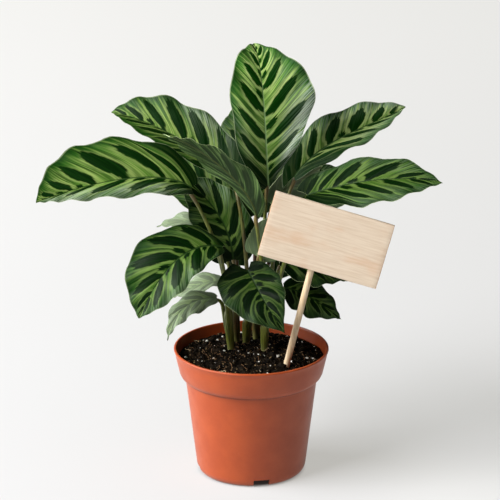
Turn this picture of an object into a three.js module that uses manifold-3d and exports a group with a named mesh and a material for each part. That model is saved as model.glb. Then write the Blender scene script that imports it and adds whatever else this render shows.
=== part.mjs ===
// A potted calathea with patterned leaves, in a plastic nursery pot, with a bare wooden plant marker.
// Millimetres, +Z up. The origin is the centre of the pot's underside, on the surface it stands on.
// +X is to the right and +Y is away from the viewer.
import * as THREE from "three";
import { mergeVertices } from "three/addons/utils/BufferGeometryUtils.js";
import Module from "manifold-3d";

const wasm = await Module();
wasm.setup();

// Clearance between pieces that touch.
const GAP = 0.3;

// Nursery pot of the 12 cm size.
const POT = {
  rimRadius: 60,
  height: 101,
  wall: 1.3,
  segments: 40,
  floorBottom: 6.6,
  floorThickness: 1.6,
  bossRadius: 15,
  notchWidth: 12.5,
  notchHeight: 6,
  notchLength: 14,
  notchCircle: 38,
  notchCount: 4,
  firstNotch: 11,
  drainHoles: 6,
  drainRadius: 4,
  drainCircle: 25,
  drainSides: 12,
};

// Soil, a shallow mound that ends a little below the rim. Its top has low bumps that fade out
// toward the pot's wall, and a plain hole for each thing that stands in it.
const SOIL = { edge: 92.5, crown: 96.5, segments: 32, relief: 0.5, fade: 6, holeDepth: 32, holeAbove: 8 };
const MOUND_RINGS = [0.85, 0.66, 0.44, 0.22];

// Blades: thickness, the rib under the midrib, and how far the side veins sweep toward the tip.
const BLADE = {
  thickness: 0.8,
  ribDepth: 0.6,
  ribTaper: 0.7,
  sweep: 0.24,
  margin: 1.35,
  baseWidth: 0.012,
  wavePower: 2.4,
};
const BLADE_COLUMNS = [-1, -0.7, -0.35, 0, 0.35, 0.7, 1];
const ROW_LENGTH = 6.8;
const LEAST_ROWS = 8;

// Petioles: radii at the sheath, along the stalk and at the swollen joint under the blade, and
// where on the midrib the blade is seated.
const PETIOLE = {
  base: 2.0,
  middle: 1.35,
  joint: 1.6,
  jointStart: 0.85,
  sides: 6,
  step: 13,
  leastSteps: 5,
  seat: 0.03,
};

// Sheaths round the feet of the stalks: the foot ends a little above the bottom of its hole, and
// the foot and the sheath share a collar at the soil.
const SHEATH = { sides: 8, collar: 3, bottomClear: 1.3 };

// Plant marker: a board on the front of a round stick that is pushed into the soil. The marker is
// turned by yaw about Z, the stick leans to the right, and above is the stick's length out of the soil.
// The board's centre is up along the stick and aside of it, and the board is turned clockwise.
const MARKER_YAW = 6;
const BOARD = { width: 94, height: 53, thickness: 3, up: 110, aside: 5.5, turn: 15.2 };
const STICK = {
  radius: 2.5,
  foot: [26.5, -26.5, 93.5],
  lean: 13.3,
  depth: 30,
  above: 121,
  holeAbove: 12,
  sides: 12,
};

// One leaf: rib holds the midrib from base to tip, and face the way the upper side looks at both
// ends. full holds the fullness at the base and at the tip and where the leaf is widest, as one set
// or as one for each half. These are for the left and the right half: wide is its width, fold how
// far it is raised in degrees, waves the number of waves along its margin and phase their start,
// scallop how far the waves move the margin in and out, and lobe how far the margin reaches back
// behind the leaf's base, as a share of its length.
const LEAF_DEFAULTS = {
  fold: [10, 10],
  full: [0.55, 1.1, 0.9],
  waves: [5, 5],
  phase: [0, 2.2],
  wave: 1.6,
  scallop: [1, 1],
  lobe: [0.03, 0.03],
  arch: 0.15,
};

const LEAVES = {
  leaf_top: {
    rib: [[13, 4, 232], [11, 0, 272], [8, 8, 313], [2, 46, 333]],
    face: [[0.2, -1, 0.25], [0.1, -0.4, 0.9]],
    wide: [29, 41],
    fold: [22, 4],
    full: [[0.55, 1, 1.15], [0.85, 0.8, 1.35]],
    lobe: [0.04, 0.04],
  },
  leaf_left_long: {
    rib: [[-46, 0, 231], [-80, -8, 242], [-124, -20, 239], [-163, -36, 231]],
    face: [[0, -0.5, 0.87], [-0.3, -0.6, 0.7]],
    wide: [22.5, 39],
    fold: [20, 18],
    full: [[0.6, 0.85, 0.8], [0.45, 1, 1.2]],
    waves: [5.5, 6],
    phase: [1.2, 2.2],
    scallop: [1.8, 1.8],
    lobe: [0.04, 0.04],
  },
  leaf_left_upper: {
    rib: [[-12, 22, 232], [-43, 36, 251], [-76, 46, 267], [-109, 58, 274]],
    face: [[0.1, -0.8, 0.6], [0, -0.7, 0.7]],
    wide: [26, 29],
    fold: [45, 15],
    full: [[0.55, 1, 1.05], [0.35, 0.8, 0.95]],
    waves: [6, 5],
    phase: [0, 5.3],
    scallop: [1, 2],
  },
  leaf_front_turned: {
    rib: [[4, -8, 210], [-10, -14, 239], [-36, -24, 266], [-61, -36, 283]],
    face: [[0.35, 0.9, 0.5], [0.3, 0.5, 0.9]],
    wide: [19, 22],
    fold: [15, 15],
    full: [[0.9, 1, 0.9], [0.7, 0.2, 1.6]],
  },
  leaf_centre: {
    rib: [[-14, 14, 168], [-21, 12, 197], [-36, 14, 219], [-58, 18, 237]],
    face: [[0.1, -1, 0.3], [0, -1, 0.5]],
    wide: [24, 22],
    full: [0.45, 1.2, 0.65],
  },
  leaf_left_lower: {
    rib: [[-22, -8, 186], [-50, -20, 185], [-71, -32, 166], [-86, -40, 139]],
    face: [[-0.1, -0.7, 0.7], [-0.3, -0.9, 0.4]],
    wide: [22, 31],
    fold: [14, 14],
    full: [[0.45, 1, 1.1], [0.75, 1, 1.2]],
    phase: [0, 3],
    wave: 2,
  },
  leaf_left_pale: {
    rib: [[-23, 30, 182], [-37, 34, 189], [-54, 38, 191], [-74, 40, 186]],
    face: [[0, -0.3, 0.95], [0, -0.3, 0.95]],
    wide: [14, 14],
    full: [0.55, 1.2, 0.8],
    waves: [4, 4],
  },
  leaf_small_low: {
    rib: [[-27, 8, 138], [-43, 2, 138], [-57, -4, 129], [-65, -8, 109]],
    face: [[0, -0.5, 0.87], [-0.5, -0.6, 0.4]],
    wide: [11, 10],
    full: [0.55, 1.2, 0.8],
    waves: [4, 4],
  },
  leaf_small_pale: {
    rib: [[-23, 24, 144], [-34, 26, 145], [-48, 28, 139], [-61, 30, 131]],
    face: [[0, -0.3, 0.95], [0, -0.4, 0.9]],
    wide: [9, 12],
    full: [0.55, 1.2, 0.8],
    waves: [3, 3],
  },
  leaf_front_hanging: {
    rib: [[-3, -10, 168], [4, -24, 159], [13, -38, 147], [26, -46, 129]],
    face: [[0.1, -0.9, 0.6], [0.2, -1, 0.2]],
    wide: [20, 29],
    full: [0.55, 1.2, 0.8],
    scallop: [0.5, 0.5],
    lobe: [0.12, 0.26],
  },
  leaf_right_low: {
    rib: [[25, 8, 147], [40, 6, 143], [55, 4, 134], [70, 2, 123]],
    face: [[0, -0.5, 0.87], [0, -0.6, 0.7]],
    wide: [19, 15],
    fold: [-8, -8],
    full: [0.55, 1.2, 0.8],
    waves: [4, 4],
  },
  leaf_right_behind: {
    rib: [[22, 20, 164], [40, 22, 160], [57, 22, 155], [75, 20, 148]],
    face: [[0, -0.2, 0.95], [0, -0.3, 0.9]],
    wide: [22, 22],
    fold: [5, 5],
    full: [0.55, 1.2, 0.8],
    waves: [4, 4],
  },
  leaf_right_long: {
    rib: [[43, 0, 225], [72, -8, 236], [107, -18, 244], [145, -28, 244]],
    face: [[0, -0.4, 0.9], [0.1, -0.4, 0.9]],
    wide: [25, 30],
    fold: [16, 10],
    full: [[0.35, 1.1, 1], [0.6, 0.9, 1.2]],
    waves: [4, 5],
    scallop: [1.4, 1.4],
    lobe: [0.12, 0.03],
  },
  leaf_right_upper: {
    rib: [[33, 18, 234], [57, 28, 255], [87, 42, 267], [120, 56, 279]],
    face: [[-0.2, -0.8, 0.6], [-0.1, -0.7, 0.6]],
    wide: [22, 16],
    fold: [15, 25],
    full: [[0.5, 0.7, 1.2], [0.5, 1, 1]],
    waves: [4, 4.7],
    phase: [-0.4, 0.6],
    scallop: [1.8, 1.8],
    lobe: [0.12, 0.03],
  },
  leaf_right_turned: {
    rib: [[15, 29, 209], [28, 31, 221], [42, 33, 230], [55, 33, 238]],
    face: [[0, 0.9, 0.6], [0, 0.9, 0.6]],
    wide: [16, 16],
    fold: [5, 5],
    full: [0.55, 1.2, 0.8],
    waves: [3, 3],
  },
  leaf_middle_turned: {
    rib: [[4, 6, 174], [20, 7, 193], [40, 10, 206], [66, 10, 213]],
    face: [[0.2, 0.9, 0.6], [0.1, 0.7, 0.8]],
    wide: [22, 18],
    full: [0.45, 1.3, 0.65],
  },
  leaf_back_upper: {
    rib: [[4, 40, 196], [4, 62, 232], [2, 88, 256], [0, 118, 266]],
    face: [[0, -0.8, 0.7], [0, -0.2, 1]],
    wide: [28, 28],
    fold: [12, 12],
    full: [0.55, 1, 1],
  },
  leaf_back_left: {
    rib: [[-16, 48, 182], [-36, 70, 206], [-62, 90, 216], [-88, 108, 210]],
    face: [[0, -0.6, 0.8], [0, -0.4, 0.9]],
    wide: [26, 26],
    fold: [14, 12],
    full: [0.55, 1, 1],
  },
  leaf_back_right: {
    rib: [[20, 42, 178], [42, 66, 200], [70, 88, 206], [98, 106, 194]],
    face: [[0, -0.5, 0.9], [0, -0.4, 0.9]],
    wide: [25, 25],
    fold: [12, 12],
    full: [0.55, 1, 1],
  },
  leaf_back_low_left: {
    rib: [[-10, 46, 152], [-24, 74, 166], [-40, 100, 164], [-56, 122, 148]],
    face: [[0, -0.3, 0.95], [-0.2, 0.4, 0.9]],
    wide: [22, 22],
    fold: [8, 8],
  },
  leaf_back_low_right: {
    rib: [[22, 40, 146], [42, 62, 158], [62, 84, 152], [80, 100, 132]],
    face: [[0, -0.2, 0.95], [0.2, 0.4, 0.8]],
    wide: [20, 20],
    fold: [8, 8],
  },
};

// Shoots: foot is where the shoot stands in the soil, and top the end of its sheath, each with its
// radius. Each stalk runs from inside the sheath through two points to the seat under its leaf.
const SHOOTS = {
  shoot_left_front: {
    foot: [-16, 11, 3.2],
    top: [-18, 10, 128, 3.6],
    stalks: {
      leaf_left_long: [[-17, 10, 112], [-20, 5, 151], [-30, 2, 191]],
      leaf_left_lower: [[-17, 9, 112], [-19, 3, 138], [-21, -3, 163]],
      leaf_small_low: [[-18, 11, 108], [-21, 13, 122], [-23, 11, 133]],
    },
  },
  shoot_left_back: {
    foot: [-11.5, 24, 3],
    top: [-12.5, 23, 126, 3.4],
    stalks: {
      leaf_centre: [[-12, 23, 110], [-12, 21, 130], [-12, 18, 150]],
      leaf_left_pale: [[-12, 24, 110], [-14, 27, 135], [-18, 30, 160]],
      leaf_small_pale: [[-12, 24, 106], [-14, 25, 120], [-17, 26, 134]],
      leaf_back_left: [[-11, 25, 110], [-11, 34, 136], [-12, 43, 162]],
    },
  },
  shoot_middle: {
    foot: [-4, 23, 3.4],
    top: [-3, 20, 118, 4],
    stalks: {
      leaf_left_upper: [[-4, 22, 108], [-3, 13, 150], [-7, 6, 200]],
      leaf_front_hanging: [[-4, 20, 108], [-3, 12, 130], [-4, 2, 152]],
    },
  },
  shoot_right: {
    foot: [10, 5, 3],
    top: [10.5, 5, 118, 3.6],
    stalks: {
      leaf_top: [[10, 6, 112], [9, 12, 150], [10, 14, 190]],
      leaf_front_turned: [[10, 4, 112], [10, 2, 146], [7, -7, 182]],
      leaf_middle_turned: [[10, 5, 110], [8, 4, 132], [6, 3, 154]],
      leaf_right_long: [[11, 4, 112], [20, -2, 150], [31, -6, 190]],
      leaf_right_upper: [[11, 6, 112], [15, 14, 152], [22, 18, 194]],
      leaf_right_behind: [[11, 7, 110], [13, 10, 128], [17, 15, 147]],
      leaf_right_low: [[11, 4, 108], [13, 3, 124], [17, 6, 141]],
    },
  },
  shoot_back: {
    foot: [4, 36, 3.4],
    top: [4, 37, 118, 4],
    stalks: {
      leaf_right_turned: [[4, 36, 112], [8, 34, 145], [12, 30, 178]],
      leaf_back_upper: [[4, 37, 112], [3, 38, 140], [3, 39, 168]],
      leaf_back_right: [[5, 37, 110], [9, 40, 134], [14, 42, 157]],
      leaf_back_low_left: [[3, 37, 106], [0, 41, 122], [-5, 45, 138]],
      leaf_back_low_right: [[6, 37, 106], [11, 39, 120], [16, 40, 134]],
    },
  },
};

const MATERIALS = {
  pot: { color: 0xb8603c, roughness: 0.5, metalness: 0 },
  soil: { color: 0x1f1712, roughness: 1, metalness: 0 },
  leaf: { color: 0x4f8a3a, roughness: 0.45, metalness: 0 },
  leafTurned: { color: 0x6f7d5a, roughness: 0.5, metalness: 0 },
  shoot: { color: 0x5d6b2c, roughness: 0.5, metalness: 0 },
  board: { color: 0xe0c39a, roughness: 0.7, metalness: 0 },
  stick: { color: 0xe3c690, roughness: 0.7, metalness: 0 },
};

// Vertices closer than this are one vertex.
const MERGE_DISTANCE = 1e-4;

const vector = (p) => new THREE.Vector3(p[0], p[1], p[2]);

// Weights of a cubic through four points at 0, 1/3, 2/3 and 1.
function cubicWeights(t) {
  return [
    ((1 - t) * (2 - 3 * t) * (1 - 3 * t)) / 2,
    (9 * t * (1 - t) * (2 - 3 * t)) / 2,
    (9 * t * (1 - t) * (3 * t - 1)) / 2,
    (t * (2 - 3 * t) * (1 - 3 * t)) / 2,
  ];
}

class CubicThroughFour extends THREE.Curve {
  constructor(points) {
    super();
    this.points = points;
  }

  getPoint(t, target = new THREE.Vector3()) {
    const weights = cubicWeights(t);
    target.set(0, 0, 0);
    this.points.forEach((point, i) => target.addScaledVector(point, weights[i]));
    return target;
  }
}

// The midrib's place, direction, upper side and right side at x, from 0 at the base to 1 at the tip.
function ribFrame(leaf, x) {
  const curve = new CubicThroughFour(leaf.rib.map(vector));
  const small = 0.001;
  const place = curve.getPoint(x);
  const along = curve.getPoint(x + small).sub(curve.getPoint(x - small)).normalize();
  const mix = THREE.MathUtils.clamp(x, 0, 1);
  const base = vector(leaf.face[0]).normalize();
  const tip = vector(leaf.face[1]).normalize();
  const up = base.lerp(tip, mix);
  up.addScaledVector(along, -up.dot(along)).normalize();
  const right = new THREE.Vector3().crossVectors(along, up);
  return { place, along, up, right };
}

// The blade's middle surface: s runs from base to tip along a side vein's foot, and v from -1 at the
// left margin to 1 at the right one.
function bladePoint(leaf, s, v) {
  const side = v < 0 ? 0 : 1;
  const a = Math.abs(v);
  const u = BLADE.baseWidth + (1 - BLADE.baseWidth) * (s + BLADE.sweep * Math.sin(Math.PI * s));
  const marginX = -leaf.lobe[side] + (1 + leaf.lobe[side]) * u;
  const x = s + (marginX - s) * a ** BLADE.margin;
  const [baseFull, tipFull, widest] = Array.isArray(leaf.full[0]) ? leaf.full[side] : leaf.full;
  const power = baseFull + (tipFull - baseFull) * u ** 3;
  const outline = Math.max(Math.sin(Math.PI * u ** widest), 0) ** power;
  const taper = Math.max(Math.sin(Math.PI * u), 0);
  const ripple = 2 * Math.PI * leaf.waves[side] * s + leaf.phase[side];
  const y = (leaf.wide[side] * outline + leaf.scallop[side] * Math.cos(ripple) * taper) * a;
  const fold = THREE.MathUtils.degToRad(leaf.fold[side]);
  const wave = leaf.wave * a ** BLADE.wavePower * Math.sin(ripple) * Math.sqrt(taper);
  const height = y * Math.sin(fold) - (leaf.arch * y * y) / leaf.wide[side] + wave;
  const frame = ribFrame(leaf, x);
  const reach = Math.sign(v) * y * Math.cos(fold);
  const place = frame.place.clone().addScaledVector(frame.right, reach).addScaledVector(frame.up, height);
  return { place, up: frame.up };
}

function closedGeometry(positions, triangles) {
  const geometry = new THREE.BufferGeometry();
  const values = positions.flatMap((p) => p.toArray());
  geometry.setAttribute("position", new THREE.Float32BufferAttribute(values, 3));
  geometry.setIndex(triangles.flat());
  return geometry;
}

// A thin closed blade, split into triangles alike on both faces, with a rib under its midrib.
function bladeGeometry(leaf) {
  const length = new CubicThroughFour(leaf.rib.map(vector)).getLength();
  const rows = Math.max(LEAST_ROWS, Math.round(length / ROW_LENGTH));
  const columns = BLADE_COLUMNS.length;
  const half = BLADE.thickness / 2;
  const upper = [];
  const lower = [];
  const addPoint = (s, v) => {
    const { place, up } = bladePoint(leaf, s, v);
    const rib = v === 0 ? BLADE.ribDepth * (1 - BLADE.ribTaper * s) : 0;
    upper.push(place.clone().addScaledVector(up, half));
    lower.push(place.clone().addScaledVector(up, -half - rib));
  };
  for (let row = 0; row < rows; row += 1) {
    BLADE_COLUMNS.forEach((v) => addPoint(row / rows, v));
  }
  addPoint(1, 0);
  const tip = rows * columns;
  const faces = [];
  for (let row = 0; row < rows - 1; row += 1) {
    for (let column = 0; column < columns - 1; column += 1) {
      const a = row * columns + column;
      const b = a + 1;
      const c = a + columns;
      const d = c + 1;
      faces.push(column < columns / 2 - 1 ? [a, b, d] : [a, b, c]);
      faces.push(column < columns / 2 - 1 ? [a, d, c] : [b, d, c]);
    }
  }
  for (let column = 0; column < columns - 1; column += 1) {
    const a = (rows - 1) * columns + column;
    faces.push([a, a + 1, tip]);
  }
  const border = [];
  for (let column = 0; column < columns - 1; column += 1) border.push(column);
  for (let row = 0; row < rows; row += 1) border.push(row * columns + columns - 1);
  border.push(tip);
  for (let row = rows - 1; row > 0; row -= 1) border.push(row * columns);
  const under = upper.length;
  const triangles = [];
  faces.forEach(([a, b, c]) => triangles.push([a, b, c], [under + a, under + c, under + b]));
  border.forEach((from, i) => {
    const to = border[(i + 1) % border.length];
    triangles.push([from, under + from, under + to], [from, under + to, to]);
  });
  return closedGeometry([...upper, ...lower], triangles);
}

// A closed tube along a curve, with a radius for each place on it and a rounded far end.
function stalkGeometry(curve, radiusAt, sides, steps) {
  const frames = curve.computeFrenetFrames(steps, false);
  const positions = [];
  const addRing = (centre, frame, radius) => {
    for (let k = 0; k < sides; k += 1) {
      const angle = (2 * Math.PI * k) / sides;
      const out = frames.normals[frame].clone().multiplyScalar(Math.cos(angle));
      out.addScaledVector(frames.binormals[frame], Math.sin(angle));
      positions.push(centre.clone().addScaledVector(out, radius));
    }
  };
  for (let i = 0; i <= steps; i += 1) addRing(curve.getPointAt(i / steps), i, radiusAt(i / steps));
  const end = curve.getPointAt(1);
  const endRadius = radiusAt(1);
  const domeAngle = Math.PI / 4;
  const dome = end.clone().addScaledVector(frames.tangents[steps], endRadius * Math.sin(domeAngle));
  addRing(dome, steps, endRadius * Math.cos(domeAngle));
  const start = positions.push(curve.getPointAt(0)) - 1;
  const apex = positions.push(end.clone().addScaledVector(frames.tangents[steps], endRadius)) - 1;
  const rings = steps + 2;
  const triangles = [];
  for (let k = 0; k < sides; k += 1) {
    const next = (k + 1) % sides;
    for (let ring = 0; ring < rings - 1; ring += 1) {
      const a = ring * sides + k;
      const b = ring * sides + next;
      triangles.push([a, b, b + sides], [a, b + sides, a + sides]);
    }
    triangles.push([start, next, k]);
    triangles.push([apex, (rings - 1) * sides + k, (rings - 1) * sides + next]);
  }
  return closedGeometry(positions, triangles);
}

// A three.js geometry as a solid for joining and cutting, and back.
function toSolid(geometry) {
  const bare = geometry.clone();
  bare.deleteAttribute("normal");
  bare.deleteAttribute("uv");
  const merged = mergeVertices(bare, MERGE_DISTANCE);
  const mesh = new wasm.Mesh({
    numProp: 3,
    vertProperties: new Float32Array(merged.attributes.position.array),
    triVerts: new Uint32Array(merged.index.array),
  });
  return new wasm.Manifold(mesh);
}

function toGeometry(solid) {
  const mesh = solid.getMesh();
  const geometry = new THREE.BufferGeometry();
  geometry.setAttribute("position", new THREE.Float32BufferAttribute(mesh.vertProperties, 3));
  geometry.setIndex(Array.from(mesh.triVerts));
  return geometry;
}

// The centre of the stalk's rounded end, a clearance below the underside of the blade.
function seatPoint(leaf) {
  const frame = ribFrame(leaf, PETIOLE.seat);
  const drop = BLADE.thickness / 2 + BLADE.ribDepth + GAP + PETIOLE.joint;
  return frame.place.addScaledVector(frame.up, -drop);
}

function stalkRadius(t) {
  const { base, middle, joint, jointStart } = PETIOLE;
  if (t < jointStart) return THREE.MathUtils.lerp(base, middle, t / jointStart);
  return THREE.MathUtils.lerp(middle, joint, (t - jointStart) / (1 - jointStart));
}

// A cylinder or cone from one point to another.
function coneBetween(from, to, fromRadius, toRadius, sides) {
  const along = new THREE.Vector3().subVectors(to, from);
  const geometry = new THREE.CylinderGeometry(toRadius, fromRadius, along.length(), sides);
  const turn = new THREE.Quaternion();
  turn.setFromUnitVectors(new THREE.Vector3(0, 1, 0), along.clone().normalize());
  geometry.applyQuaternion(turn);
  geometry.translate((from.x + to.x) / 2, (from.y + to.y) / 2, (from.z + to.z) / 2);
  return geometry;
}

// A shoot: its rooted foot, its sheath, and the stalks that leave the sheath.
function shootGeometry(shoot) {
  const [footX, footY, footRadius] = shoot.foot;
  const [topX, topY, topZ, topRadius] = shoot.top;
  const bottom = new THREE.Vector3(footX, footY, SOIL.crown - SOIL.holeDepth + SHEATH.bottomClear);
  const ground = new THREE.Vector3(footX, footY, SOIL.crown);
  const collar = new THREE.Vector3(footX, footY, SOIL.crown + SHEATH.collar);
  const top = new THREE.Vector3(topX, topY, topZ);
  let solid = toSolid(coneBetween(bottom, collar, footRadius, footRadius, SHEATH.sides));
  solid = solid.add(toSolid(coneBetween(ground, top, footRadius, topRadius, SHEATH.sides)));
  Object.entries(shoot.stalks).forEach(([name, points]) => {
    const curve = new CubicThroughFour([...points.map(vector), seatPoint(leafSpec(name))]);
    const steps = Math.max(PETIOLE.leastSteps, Math.round(curve.getLength() / PETIOLE.step));
    solid = solid.add(toSolid(stalkGeometry(curve, stalkRadius, PETIOLE.sides, steps)));
  });
  return toGeometry(solid);
}

function leafSpec(name) {
  return { ...LEAF_DEFAULTS, ...LEAVES[name] };
}

// The pot's outer side as radius and height, from the lip down to the foot.
function potOutside() {
  const { rimRadius, height } = POT;
  return [
    [rimRadius - 0.5, height],
    [rimRadius, height - 0.6],
    [rimRadius, height - 2],
    [rimRadius - 1, height - 6],
    [rimRadius - 4, height - 19],
    [rimRadius - 6.2, height - 22.2],
    [rimRadius - 8.4, height - 23.6],
    [rimRadius - 8.9, height - 26],
    [rimRadius - 17.2, 6.5],
    [rimRadius - 18.2, 3],
    [rimRadius - 20, 0.9],
    [rimRadius - 22, 0],
  ];
}

// The pot's inner side from the floor up to the lip.
function potInside() {
  const { rimRadius, height, wall, floorBottom, floorThickness } = POT;
  const floor = floorBottom + floorThickness;
  return [
    [rimRadius - 17.4 - wall, floor],
    [rimRadius - 8.9 - wall, height - 27],
    [rimRadius - 8.4 - wall, height - 24.6],
    [rimRadius - 6 - wall, height - 23],
    [rimRadius - 4 - wall, height - 19.6],
    [rimRadius - 1.2 - wall, height - 6],
    [rimRadius - 0.4 - wall, height - 1.5],
    [rimRadius - 0.2 - wall, height - 0.3],
  ];
}

// The inner side of the skirt under the floor, from the floor down to the ring the pot stands on.
function potSkirt() {
  const { rimRadius, floorBottom } = POT;
  return [
    [rimRadius - 18.7, floorBottom],
    [rimRadius - 19.7, 3.2],
    [rimRadius - 21.4, 1.2],
    [rimRadius - 23.6, 0],
  ];
}

// A lathe turned upright, so that its axis is Z.
function upright(profile, segments) {
  const points = profile.map(([r, z]) => new THREE.Vector2(r, z));
  const geometry = new THREE.LatheGeometry(points, segments);
  geometry.rotateX(Math.PI / 2);
  return geometry;
}

function potGeometry() {
  const floor = POT.floorBottom + POT.floorThickness;
  const profile = [
    [0, 0],
    [POT.bossRadius, 0],
    [POT.bossRadius + 1, POT.floorBottom],
    ...potSkirt(),
    ...potOutside().reverse(),
    ...potInside().reverse(),
    [0, floor],
  ];
  let solid = toSolid(upright(profile, POT.segments));
  for (let k = 0; k < POT.notchCount; k += 1) {
    const angle = THREE.MathUtils.degToRad(POT.firstNotch + (360 * k) / POT.notchCount);
    const block = new THREE.BoxGeometry(POT.notchWidth, POT.notchLength, 2 * POT.notchHeight);
    block.translate(0, -POT.notchCircle, 0);
    block.rotateZ(angle);
    solid = solid.subtract(toSolid(block));
  }
  for (let k = 0; k < POT.drainHoles; k += 1) {
    const angle = (2 * Math.PI * (k + 0.5)) / POT.drainHoles;
    const x = POT.drainCircle * Math.cos(angle);
    const y = POT.drainCircle * Math.sin(angle);
    const low = new THREE.Vector3(x, y, POT.floorBottom - 1);
    const high = new THREE.Vector3(x, y, floor + 1);
    solid = solid.subtract(toSolid(coneBetween(low, high, POT.drainRadius, POT.drainRadius, POT.drainSides)));
  }
  return toGeometry(solid);
}

// The radius at which the soil meets the pot's inner side, at a height.
function soilRadius(z) {
  const inside = potInside();
  const upper = inside.findIndex(([, height]) => height > z);
  const [r0, z0] = inside[upper - 1];
  const [r1, z1] = inside[upper];
  return r0 + ((r1 - r0) * (z - z0)) / (z1 - z0) - GAP;
}

// Two sets of waves, 20 to 23 mm and 13 mm apart, that cross on the soil's top.
function soilBump(x, y) {
  const broad = Math.sin(0.31 * x + 0.7) * Math.cos(0.27 * y);
  const narrow = Math.sin(0.19 * x - 0.43 * y);
  return broad + 0.6 * narrow;
}

// The soil fills the pot to just below the rim.
function soilGeometry() {
  const { edge, crown } = SOIL;
  const floor = POT.floorBottom + POT.floorThickness + GAP;
  const inner = potInside().filter(([, z]) => z > floor && z < edge);
  const side = inner.map(([r, z]) => [r - GAP, z]);
  const edgeRadius = soilRadius(edge);
  const mound = MOUND_RINGS.map((part) => [edgeRadius * part, edge + (crown - edge) * (1 - part * part)]);
  const profile = [[0, floor], [soilRadius(floor), floor], ...side, [edgeRadius, edge], ...mound, [0, crown]];
  const geometry = upright(profile, SOIL.segments);
  const position = geometry.attributes.position;
  for (let i = 0; i < position.count; i += 1) {
    const x = position.getX(i);
    const y = position.getY(i);
    const z = position.getZ(i);
    const inland = THREE.MathUtils.clamp((edgeRadius - Math.hypot(x, y)) / SOIL.fade, 0, 1);
    if (z > edge - GAP) position.setZ(i, z + SOIL.relief * soilBump(x, y) * inland);
  }
  let solid = toSolid(geometry);
  Object.values(SHOOTS).forEach(({ foot: [x, y, radius] }) => {
    const low = new THREE.Vector3(x, y, crown - SOIL.holeDepth);
    const high = new THREE.Vector3(x, y, crown + SOIL.holeAbove);
    solid = solid.subtract(toSolid(coneBetween(low, high, radius + 2 * GAP, radius + 2 * GAP, SHEATH.sides)));
  });
  const bore = STICK.radius + GAP;
  const low = stickPoint(-STICK.depth - GAP);
  const high = stickPoint(STICK.holeAbove);
  solid = solid.subtract(toSolid(coneBetween(low, high, bore, bore, STICK.sides)));
  return toGeometry(solid);
}

// The marker's directions: sideways along the board's plane, and out of its front.
const yawAngle = THREE.MathUtils.degToRad(MARKER_YAW);
const markerSide = new THREE.Vector3(Math.cos(yawAngle), -Math.sin(yawAngle), 0);
const markerFront = new THREE.Vector3(-Math.sin(yawAngle), -Math.cos(yawAngle), 0);

// A place on the stick's axis, at a distance from the soil.
function stickPoint(distance) {
  const lean = THREE.MathUtils.degToRad(STICK.lean);
  const foot = vector(STICK.foot);
  foot.addScaledVector(markerSide, distance * Math.sin(lean));
  foot.z += distance * Math.cos(lean);
  return foot;
}

function stickGeometry() {
  const { radius, depth, above, sides } = STICK;
  return coneBetween(stickPoint(-depth), stickPoint(above), radius, radius, sides);
}

// The board lies against the front of the stick.
function placeBoard(board) {
  const out = STICK.radius + GAP + BOARD.thickness / 2;
  const centre = stickPoint(BOARD.up);
  centre.addScaledVector(markerSide, BOARD.aside);
  centre.addScaledVector(markerFront, out);
  board.position.copy(centre);
  board.rotation.order = "ZYX";
  board.rotation.set(0, THREE.MathUtils.degToRad(BOARD.turn), -yawAngle);
}

function addPiece(group, name, geometry, look) {
  const mesh = new THREE.Mesh(geometry, new THREE.MeshStandardMaterial(look));
  mesh.name = name;
  group.add(mesh);
  return mesh;
}

const plant = new THREE.Group();

addPiece(plant, "pot", potGeometry(), MATERIALS.pot);
addPiece(plant, "soil", soilGeometry(), MATERIALS.soil);
Object.entries(SHOOTS).forEach(([name, shoot]) => {
  addPiece(plant, name, shootGeometry(shoot), MATERIALS.shoot);
});
Object.keys(LEAVES).forEach((name) => {
  const look = name.endsWith("_turned") ? MATERIALS.leafTurned : MATERIALS.leaf;
  addPiece(plant, name, bladeGeometry(leafSpec(name)), look);
});

const boardBox = new THREE.BoxGeometry(BOARD.width, BOARD.thickness, BOARD.height);
placeBoard(addPiece(plant, "marker_board", boardBox, MATERIALS.board));
addPiece(plant, "marker_stick", stickGeometry(), MATERIALS.stick);

export default plant;
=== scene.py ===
import math
import random

import bmesh
import bpy
import numpy as np
from mathutils import Matrix, Vector, noise


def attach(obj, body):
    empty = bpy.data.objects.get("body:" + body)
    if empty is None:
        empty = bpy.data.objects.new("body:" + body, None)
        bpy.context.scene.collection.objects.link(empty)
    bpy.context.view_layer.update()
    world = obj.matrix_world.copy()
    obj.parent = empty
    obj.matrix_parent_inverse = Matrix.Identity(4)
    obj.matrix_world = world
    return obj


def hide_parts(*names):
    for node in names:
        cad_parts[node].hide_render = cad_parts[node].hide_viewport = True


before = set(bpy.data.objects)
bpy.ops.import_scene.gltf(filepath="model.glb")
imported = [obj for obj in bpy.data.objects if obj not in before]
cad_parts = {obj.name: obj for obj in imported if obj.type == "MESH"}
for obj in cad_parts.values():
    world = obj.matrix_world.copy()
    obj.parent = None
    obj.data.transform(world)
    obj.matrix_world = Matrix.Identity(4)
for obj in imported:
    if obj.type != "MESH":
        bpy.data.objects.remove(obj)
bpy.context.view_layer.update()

MM = 0.001
GAP = 0.3
SEED = 4207

# Camera at the photograph's angle, 19 degrees down, with a long lens.
CAMERA_AIM = (-0.001, 0.0, 0.18072)
CAMERA_AT = (-0.001, -2.45835, 1.02719)
LENS_MM = 242.8
SENSOR_MM = 36.0

# Lights: name, place, aim, size, watts and colour.
LIGHTS = (
    ("window", (-2.0, -1.1, 2.1), (0.0, 0.0, 0.15), 1.9, 185.0, (1.0, 0.985, 0.96)),
    ("side", (-2.2, 0.2, 1.0), (0.0, 0.0, 0.12), 1.2, 56.0, (1.0, 1.0, 1.0)),
    ("ceiling", (0.2, -0.2, 2.4), (0.0, 0.0, 0.1), 2.4, 5.0, (1.0, 1.0, 1.0)),
)
SURROUND = {"colour": (0.9, 0.93, 0.97, 1.0), "strength": 0.03}
FLOOR_REACH = 8.0

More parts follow.
